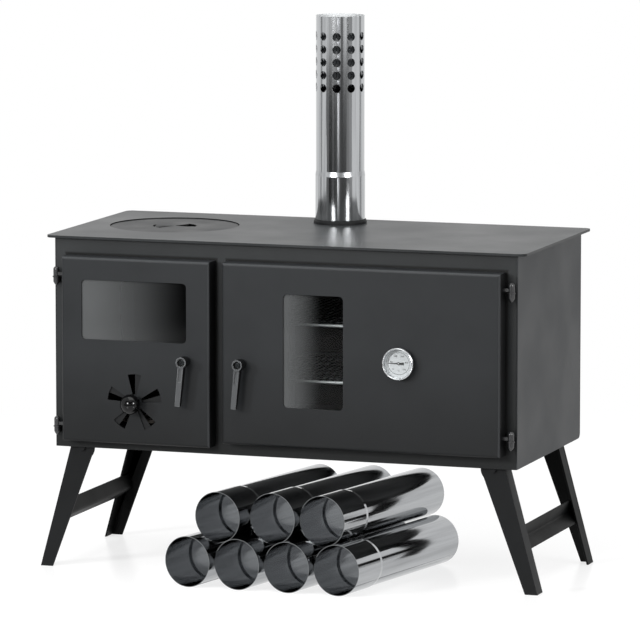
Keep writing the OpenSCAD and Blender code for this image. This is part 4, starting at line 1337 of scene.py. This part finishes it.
@dataclass
class DoorSeal:
    """Round rope pressed into a door pan, all the way round its rim."""

    name: str
    node: str
    body: str
    corner: float = 14 * MM
    corner_steps: int = 10
    round_steps: int = 4
    smooth_angle: float = 60.0

    def build(self) -> bpy.types.Object:
        """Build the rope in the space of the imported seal.

        Returns:
            The rope.
        """
        low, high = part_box(self.node)
        thick = high.y - low.y
        bpy.ops.object.select_all(action="DESELECT")
        bpy.ops.mesh.primitive_plane_add(size=1, location=(low + high) / 2, rotation=FACE_FRONT)
        path = add_piece(self.name)
        path.scale = (high.x - low.x - thick, high.z - low.z - thick, 1)
        apply_place(path, scale_only=True)
        with editing(path):
            bpy.ops.mesh.bevel(offset=self.corner, segments=self.corner_steps, affect="VERTICES")
            bpy.ops.mesh.delete(type="ONLY_FACE")
        only(path)
        bpy.ops.object.convert(target="CURVE")
        curve = bpy.context.object.data
        curve.bevel_depth = thick / 2
        curve.bevel_resolution = self.round_steps
        curve.use_fill_caps = False
        bpy.ops.object.convert(target="MESH")
        rope = settle(bpy.context.object, self.smooth_angle)
        finish_piece(rope, ROPE, self.body)
        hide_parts(self.node)
        return rope


@dataclass
class GaugeScale:
    """The printed scale of the oven thermometer: ticks, a thin ring and plain numbers.

    Lengths that are shares are shares of the dial's radius.
    """

    face_step: float = 0.8 * MM
    print_t: float = 0.08 * MM
    sweep: float = 270.0
    top_value: int = 500
    step: int = 100
    ticks: int = 50
    ticks_to_long: int = 5
    digit_size: float = 4.0 * MM
    digit_curve_steps: int = 3
    ring_share: float = 0.78
    ring_width_share: float = 0.04
    ring_sides: int = 96
    tick_reach_share: float = 0.91
    long_tick: tuple[float, float] = (0.11, 0.5 * MM)
    short_tick: tuple[float, float] = (0.06, 0.28 * MM)
    number_share: float = 0.56
    unit_share: float = 0.5
    radius: float = field(init=False)
    centre: Vector = field(init=False)

    def __post_init__(self) -> None:
        """Find the dial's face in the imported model."""
        low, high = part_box("thermometer_dial")
        self.radius = (high.x - low.x) / 2
        self.centre = Vector(((low.x + high.x) / 2, high.y - self.face_step, (low.z + high.z) / 2))

    def build(self) -> list[bpy.types.Object]:
        """Build the ring, the ticks and the numbers.

        Returns:
            The three pieces.
        """
        pieces = [self._ring(), self._ticks(), self._numbers()]
        for piece, finish in zip(pieces, (MARK_GREY, MARK_GREY, MARK_BLACK), strict=True):
            finish_piece(piece, finish, "oven_door")
        return pieces

    def _at(self, share: float, radius: float) -> tuple[Vector, float]:
        """Place a mark.

        Args:
            share: How far round the scale, from 0 to 1.
            radius: Distance from the centre.

        Returns:
            The mark's place, and its turn from upright, clockwise, in radians.
        """
        angle = math.radians(self.sweep * (share - 0.5))
        return self.centre + Vector((math.sin(angle) * radius, 0, math.cos(angle) * radius)), angle

    def _ring(self) -> bpy.types.Object:
        """Build the thin ring inside the ticks.

        Returns:
            The ring.
        """
        bpy.ops.object.select_all(action="DESELECT")
        bpy.ops.mesh.primitive_circle_add(
            vertices=self.ring_sides,
            radius=self.radius * self.ring_share,
            fill_type="NGON",
            location=self.centre - Vector((0, self.print_t / 2, 0)),
            rotation=FACE_FRONT,
        )
        ring = add_piece("gauge_scale_ring")
        with editing(ring):
            bpy.ops.mesh.inset(thickness=self.radius * self.ring_width_share)
            bpy.ops.mesh.delete(type="FACE")
        apply_modifier(ring, "print", "SOLIDIFY", {"thickness": self.print_t / 2})
        return settle(ring)

    def _ticks(self) -> bpy.types.Object:
        """Build the ticks, some of them longer and broader.

        Returns:
            The ticks as one piece.
        """
        parts = []
        for i in range(self.ticks + 1):
            share, width = self.short_tick if i % self.ticks_to_long else self.long_tick
            length = self.radius * share
            place, angle = self._at(i / self.ticks, self.radius * self.tick_reach_share - length / 2)
            bpy.ops.object.select_all(action="DESELECT")
            bpy.ops.mesh.primitive_cube_add(size=1, location=place, rotation=(0, angle, 0))
            tick = bpy.context.object
            tick.scale = (width, 2 * self.print_t, length)
            parts.append(apply_place(tick))
        return join_parts(parts, "gauge_scale_ticks")

    def _numbers(self) -> bpy.types.Object:
        """Build the numbers and the unit, and make them a mesh.

        Returns:
            The numbers as one piece.
        """
        parts = []
        for value in range(0, self.top_value + 1, self.step):
            place, _ = self._at(value / self.top_value, self.radius * self.number_share)
            parts.append(self._text(str(value), place))
        parts.append(self._text("°C", self.centre - Vector((0, 0, self.radius * self.unit_share))))
        return join_parts(parts, "gauge_scale_numbers")

    def _text(self, words: str, place: Vector) -> bpy.types.Object:
        """Build one number.

        Args:
            words: The number or unit.
            place: Its middle.

        Returns:
            Its mesh.
        """
        bpy.ops.object.select_all(action="DESELECT")
        bpy.ops.object.text_add(location=place, rotation=FACE_FRONT)
        text = bpy.context.object
        text.data.body = words
        text.data.size = self.digit_size
        text.data.align_x = "CENTER"
        text.data.align_y = "CENTER"
        text.data.extrude = self.print_t
        text.data.resolution_u = self.digit_curve_steps
        only(text)
        bpy.ops.object.convert(target="MESH")
        return apply_place(bpy.context.object)


@dataclass
class HubScrew:
    """The cross-head screw in a lever's hub."""

    name: str
    node: str
    body: str
    head_r: float = 4.6 * MM
    head_t: float = 2.2 * MM
    head_sides: int = 40
    head_round: float = 0.7 * MM
    recess_depth: float = 5.0 * MM
    hub_r: float = 8.7 * MM
    slot: tuple[float, float, float] = (1.1 * MM, 2.2 * MM, 5.6 * MM)
    slot_turns: tuple[float, float] = (35.0, 125.0)
    smooth_angle: float = 30.0

    def build(self) -> bpy.types.Object:
        """Build the screw on the floor of the hub's recess, at the upper right end of the lever's box.

        Returns:
            The screw.
        """
        low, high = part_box(self.node)
        centre = Vector((high.x - self.hub_r, low.y + self.recess_depth - self.head_t / 2, high.z - self.hub_r))
        bpy.ops.object.select_all(action="DESELECT")
        bpy.ops.mesh.primitive_cylinder_add(
            vertices=self.head_sides, radius=self.head_r, depth=self.head_t, location=centre, rotation=FACE_FRONT
        )
        head = apply_place(add_piece(self.name))
        apply_bevel(head, self.head_round, 3)
        for turn in self.slot_turns:
            bpy.ops.object.select_all(action="DESELECT")
            bpy.ops.mesh.primitive_cube_add(
                size=1, location=centre - Vector((0, self.head_t / 2, 0)), rotation=(0, math.radians(turn), 0)
            )
            cutter = bpy.context.object
            cutter.scale = self.slot
            apply_modifier(head, "cross", "BOOLEAN", {"object": cutter})
            bpy.data.objects.remove(cutter)
        settle(head, self.smooth_angle)
        return finish_piece(head, SCREW_STEEL, self.body)


@dataclass
class PipeSeam:
    """The lap seam along a chimney section, a narrow raised strip on the sheet.

    Along is the section's direction and out the seam's side of it. Each run is from, to and the sheet's radius there.
    """

    name: str
    body: str
    finish: Finish
    start: Vector
    along: Vector
    out: Vector
    runs: Sequence[tuple[float, float, float]]
    width: float = 3.0 * MM
    height: float = 0.35 * MM
    edge_share: float = 0.45
    proud_share: float = 0.25

    def build(self) -> bpy.types.Object:
        """Build the strip's runs.

        Returns:
            The seam.
        """
        across = self.out.cross(self.along).normalized()
        turn = Matrix((across, self.out, self.along)).transposed().to_euler()
        parts = []
        for begin, end, radius in self.runs:
            bpy.ops.object.select_all(action="DESELECT")
            bpy.ops.mesh.primitive_cube_add(size=1)
            strip = bpy.context.object
            strip.scale = (self.width, self.height, end - begin)
            apply_place(strip, scale_only=True)
            apply_bevel(strip, self.height * self.edge_share)
            strip.rotation_euler = turn
            strip.location = (
                self.start + self.along * (begin + end) / 2 + self.out * (radius + self.height * self.proud_share)
            )
            parts.append(apply_place(strip))
        return finish_piece(join_parts(parts, self.name), self.finish, self.body)


@dataclass
class ChimneySeams:
    """The seams of the chimney and of the spare sections."""

    pipe_r: float = 40 * MM
    socket_r: float = 41.1 * MM
    socket_len: float = 72 * MM
    shoulder: float = 8 * MM
    length: float = 336 * MM
    end_gap: float = 1 * MM
    hole_pitch: float = 21.2 * MM
    hole_gap: float = 7.4 * MM
    top_row: float = 33 * MM
    rows: int = 5
    chimney_turn: float = 14.3
    spare_turns: tuple[float, ...] = (150.0, -60.0, -110.0, 125.0, 70.0, -75.0, 160.0)

    def build(self) -> list[bpy.types.Object]:
        """Build all eight seams.

        Returns:
            The seams.
        """
        return [self._chimney(), *(self._spare(i, turn) for i, turn in enumerate(self.spare_turns, start=1))]

    def _chimney(self) -> bpy.types.Object:
        """Build the seam of the chimney, broken by the rows of spark holes.

        Returns:
            The seam.
        """
        low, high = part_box("chimney_pipe")
        mouth = Vector(((low.x + high.x) / 2, (low.y + high.y) / 2, low.z))
        highest = self.length - self.top_row
        lowest = highest - (self.rows - 1) * self.hole_pitch
        runs = [
            (self.end_gap, self.socket_len - self.end_gap, self.socket_r),
            (self.socket_len + self.shoulder, lowest - self.hole_gap, self.pipe_r),
        ]
        for row in range(self.rows - 1):
            z = lowest + row * self.hole_pitch
            runs.append((z + self.hole_gap, z + self.hole_pitch - self.hole_gap, self.pipe_r))
        runs.append((highest + self.hole_gap, self.length - self.end_gap, self.pipe_r))
        turn = math.radians(self.chimney_turn)
        out = Vector((math.sin(turn), -math.cos(turn), 0))
        return PipeSeam("chimney_seam", "chimney", SEAM_STEEL, mouth, Vector((0, 0, 1)), out, runs).build()

    def _spare(self, number: int, turn: float) -> bpy.types.Object:
        """Build the seam of a spare section.

        Args:
            number: The section's number.
            turn: The seam's turn from the section's upper side, in degrees.

        Returns:
            The seam.
        """
        low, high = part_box(f"spare_pipe_{number}")
        stack_turn = math.radians(STACK_TURN)
        lean = Vector((math.cos(stack_turn), math.sin(stack_turn), 0)) * self.socket_r
        start = Vector((low.x, low.y, (low.z + high.z) / 2)) + lean
        along = Vector((math.sin(stack_turn), math.cos(stack_turn), 0))
        up = Vector((0, 0, 1))
        out = along.cross(up).normalized() * math.sin(math.radians(turn)) + up * math.cos(math.radians(turn))
        runs = [
            (self.end_gap, self.socket_len - self.end_gap, self.socket_r),
            (self.socket_len + self.shoulder, self.length - self.end_gap, self.pipe_r),
        ]
        return PipeSeam(f"section_{number}_seam", f"spare_{number}", STACK_STEEL, start, along, out, runs).build()


# ---------------------------------------------------------------- studio


WHITE = linear("#ffffff")


@dataclass
class Softbox:
    """A square studio light."""

    name: str
    place: tuple[float, float, float]
    aim: tuple[float, float, float]
    size: float
    power: float
    seen_in_gloss: bool = True
    lights_paint: bool = True

    def build(self) -> bpy.types.Object:
        """Add the light.

        Returns:
            The light.
        """
        data = bpy.data.lights.new(self.name, "AREA")
        data.size = self.size
        data.energy = self.power
        lamp = bpy.data.objects.new(self.name, data)
        bpy.context.scene.collection.objects.link(lamp)
        lamp.location = self.place
        way = Vector(self.aim) - Vector(self.place)
        lamp.rotation_euler = way.to_track_quat("-Z", "Y").to_euler()
        lamp.visible_camera = False
        lamp.visible_glossy = self.seen_in_gloss
        lamp.visible_diffuse = self.lights_paint
        return lamp


@dataclass(frozen=True)
class Flag:
    """A tall matt card round the stove, seen only as a dark or grey band in bright metal.

    Its sides are turns to the right of the camera's direction, in degrees, and shade is its brightness, where 1 is
    white.
    """

    name: str
    left: float
    right: float
    shade: float
    top: float = 0.54
    foot: float = 0.0
    distance: float = 3.2

    def build(self, camera_azimuth: float) -> bpy.types.Object:
        """Stand the card up, facing the stove.

        Args:
            camera_azimuth: The camera's direction from the stove, in degrees from the front towards the right.

        Returns:
            The card.
        """
        azimuth = math.radians(camera_azimuth + (self.left + self.right) / 2)
        half = self.distance * math.tan(math.radians((self.right - self.left) / 2))
        middle = (self.distance * math.sin(azimuth), -self.distance * math.cos(azimuth), (self.foot + self.top) / 2)
        bpy.ops.object.select_all(action="DESELECT")
        bpy.ops.mesh.primitive_plane_add(size=1, location=middle, rotation=(math.radians(90), 0, azimuth))
        card = add_piece(self.name)
        card.scale = (2 * half, self.top - self.foot, 1)
        settle(card)
        made = bpy.data.materials.new(self.name)
        tree = empty_tree(made)
        made.cycles.emission_sampling = "NONE"
        glow = add_node(tree, "ShaderNodeEmission", values={"Color": WHITE, "Strength": self.shade})
        add_node(tree, "ShaderNodeOutputMaterial", links={"Surface": glow.outputs[0]})
        card.data.materials.append(made)
        for ray in ("camera", "diffuse", "transmission", "shadow", "volume_scatter"):
            setattr(card, f"visible_{ray}", False)
        return card


@dataclass
class Studio:
    """A pale floor, a white surround, soft lights, cards for the bright steel and the photograph's camera."""

    floor_half: float = 6.0
    floor_drop: float = 0.2 * MM
    floor_fade: tuple[float, float] = (0.9, 1.8)
    ambient: float = 0.28
    lens: float = 313.8
    sensor: float = 36.0
    view_end: float = 100.0
    camera_place: tuple[float, float, float] = (2.917, -8.494, 1.603)
    camera_turn: tuple[float, float, float] = (82.42, 0.0, 18.85)
    lights: tuple[Softbox, ...] = (
        Softbox("key_light", (-3.3, -4.1, 1.9), (0, 0, 0.4), 0.8, 165, False),
        Softbox("front_light", (-0.2, -1.4, 1.8), (0, -0.1, 0.35), 1.2, 14, False),
        Softbox("top_light", (0.2, -0.3, 3.2), (0, 0, 0.4), 2.4, 34),
        Softbox("side_light", (4.2, -1.2, 1.8), (0.2, 0, 0.4), 1.5, 34, False),
        Softbox("left_lamp", (-0.73, -2.91, 1.26), (0, 0, 0.45), 0.75, 50, lights_paint=False),
        Softbox("right_lamp", (2.48, -1.69, 1.26), (0, 0, 0.45), 0.75, 50, lights_paint=False),
    )
    flags: tuple[Flag, ...] = (
        Flag("card_far_left", -110, -99, 0.45, 2.6),
        Flag("card_left_edge", -70, -57, 0.2),
        Flag("card_left", -57, -40, 0.035),
        Flag("card_mid_left", -40, -31, 0.12),
        Flag("card_front_left", -31, -20, 0.06),
        Flag("card_front", -20, 5, 0.13),
        Flag("card_front_right", 5, 31, 0.085),
        Flag("card_left_high", -57, -36, 0.85, 0.95, 0.54),
        Flag("card_right_high", 3, 15, 0.28, 0.95, 0.54),
        Flag("card_sky_left", -62, 0, 0.2, 3.1, 0.95),
        Flag("card_sky_right", 0, 62, 0.2, 3.1, 0.95),
        Flag("card_mid_right", 31, 44, 0.28, 2.6),
        Flag("card_right", 44, 60, 0.45, 2.6),
        Flag("card_far_right", 104, 116, 0.45, 2.6),
    )

    def build(self) -> None:
        """Build the studio."""
        self._floor()
        self._surround()
        for light in self.lights:
            light.build()
        for flag in self.flags:
            flag.build(self.camera_turn[2])
        self._camera()
        bpy.context.scene.view_settings.view_transform = "Standard"

    def _floor(self) -> None:
        """Lay the floor: white to the camera, with the object's shadow and a faint reflection on it near by."""
        bpy.ops.object.select_all(action="DESELECT")
        bpy.ops.mesh.primitive_plane_add(size=2 * self.floor_half, location=(0, 0, -self.floor_drop))
        floor = add_piece("studio_floor")
        made = bpy.data.materials.new("studio_floor_white")
        tree = empty_tree(made)
        plain, shade, mirror, glow, white = (
            add_node(tree, kind, values=values).outputs[0]
            for kind, values in (
                ("ShaderNodeBsdfDiffuse", {"Color": linear("#787878")}),
                ("ShaderNodeBsdfDiffuse", {"Color": linear("#949494")}),
                ("ShaderNodeBsdfGlossy", {"Color": linear("#656565"), "Roughness": 0.2}),
                ("ShaderNodeEmission", {"Color": WHITE, "Strength": 0.72}),
                ("ShaderNodeEmission", {"Color": WHITE, "Strength": 1.0}),
            )
        )
        matt = add_node(tree, "ShaderNodeAddShader", links={0: shade, 1: glow}).outputs[0]
        pale = add_node(tree, "ShaderNodeAddShader", links={0: matt, 1: mirror}).outputs[0]
        place = add_node(tree, "ShaderNodeTexCoord").outputs["Object"]
        away = add_node(tree, "ShaderNodeVectorMath", {"operation": "LENGTH"}, links={0: place}).outputs["Value"]
        fade = add_node(
            tree, "ShaderNodeMapRange", values=between(*self.floor_fade), links={"Value": away}
        ).outputs["Result"]
        sweep = add_node(tree, "ShaderNodeMixShader", links={0: fade, 1: pale, 2: white}).outputs[0]
        both = add_node(tree, "ShaderNodeMixShader", links={0: self._seen(tree), 1: plain, 2: sweep}).outputs[0]
        add_node(tree, "ShaderNodeOutputMaterial", links={"Surface": both})
        floor.data.materials.append(made)

    def _seen(self, tree: bpy.types.NodeTree) -> bpy.types.NodeSocket:
        """Tell camera, glossy and transmission rays from the rest.

        Args:
            tree: The node tree.

        Returns:
            1 for those rays and 0 for the rest.
        """
        rays = add_node(tree, "ShaderNodeLightPath").outputs
        seen = rays["Is Camera Ray"]
        for name in ("Is Glossy Ray", "Is Transmission Ray"):
            pair = {0: seen, 1: rays[name]}
            seen = add_node(tree, "ShaderNodeMath", {"operation": "MAXIMUM"}, links=pair).outputs[0]
        return seen

    def _surround(self) -> None:
        """Set the world: white where it is seen, and a dimmer light elsewhere."""
        world = bpy.data.worlds.new("studio_surround")
        tree = empty_tree(world)
        dim, white = (
            add_node(tree, "ShaderNodeBackground", values={"Color": WHITE, "Strength": strength}).outputs[0]
            for strength in (self.ambient, 1.0)
        )
        both = add_node(tree, "ShaderNodeMixShader", links={0: self._seen(tree), 1: dim, 2: white}).outputs[0]
        add_node(tree, "ShaderNodeOutputWorld", links={"Surface": both})
        bpy.context.scene.world = world

    def _camera(self) -> None:
        """Set the camera to the photograph's view."""
        data = bpy.data.cameras.new("photo_camera")
        data.lens = self.lens
        data.sensor_width = self.sensor
        data.clip_end = self.view_end
        camera = bpy.data.objects.new("photo_camera", data)
        bpy.context.scene.collection.objects.link(camera)
        camera.location = self.camera_place
        camera.rotation_euler = Euler([math.radians(a) for a in self.camera_turn])
        bpy.context.scene.camera = camera


# ---------------------------------------------------------------- the whole


def main() -> None:
    """Build the dressed stove and its studio, and report each piece."""
    logging.basicConfig(level=logging.INFO, format="%(message)s")
    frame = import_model()
    record = frame["record"]
    packed = PackedNodes(frame["nodes"])
    packed.dress()
    packed.soften(record["behaviour"]["bodies"])
    pieces = [
        DoorSeal("firebox_rope_seal", "firebox_seal", "firebox_door").build(),
        DoorSeal("oven_rope_seal", "oven_seal", "oven_door").build(),
        HubScrew("firebox_lever_screw", "firebox_handle", "firebox_latch").build(),
        HubScrew("oven_lever_screw", "oven_handle", "oven_latch").build(),
        *GaugeScale().build(),
        *ChimneySeams().build(),
    ]
    for piece in pieces:
        LOG.info("%s: %d faces", piece.name, len(piece.data.polygons))
    Studio().build()


if __name__ == "__main__":
    main()
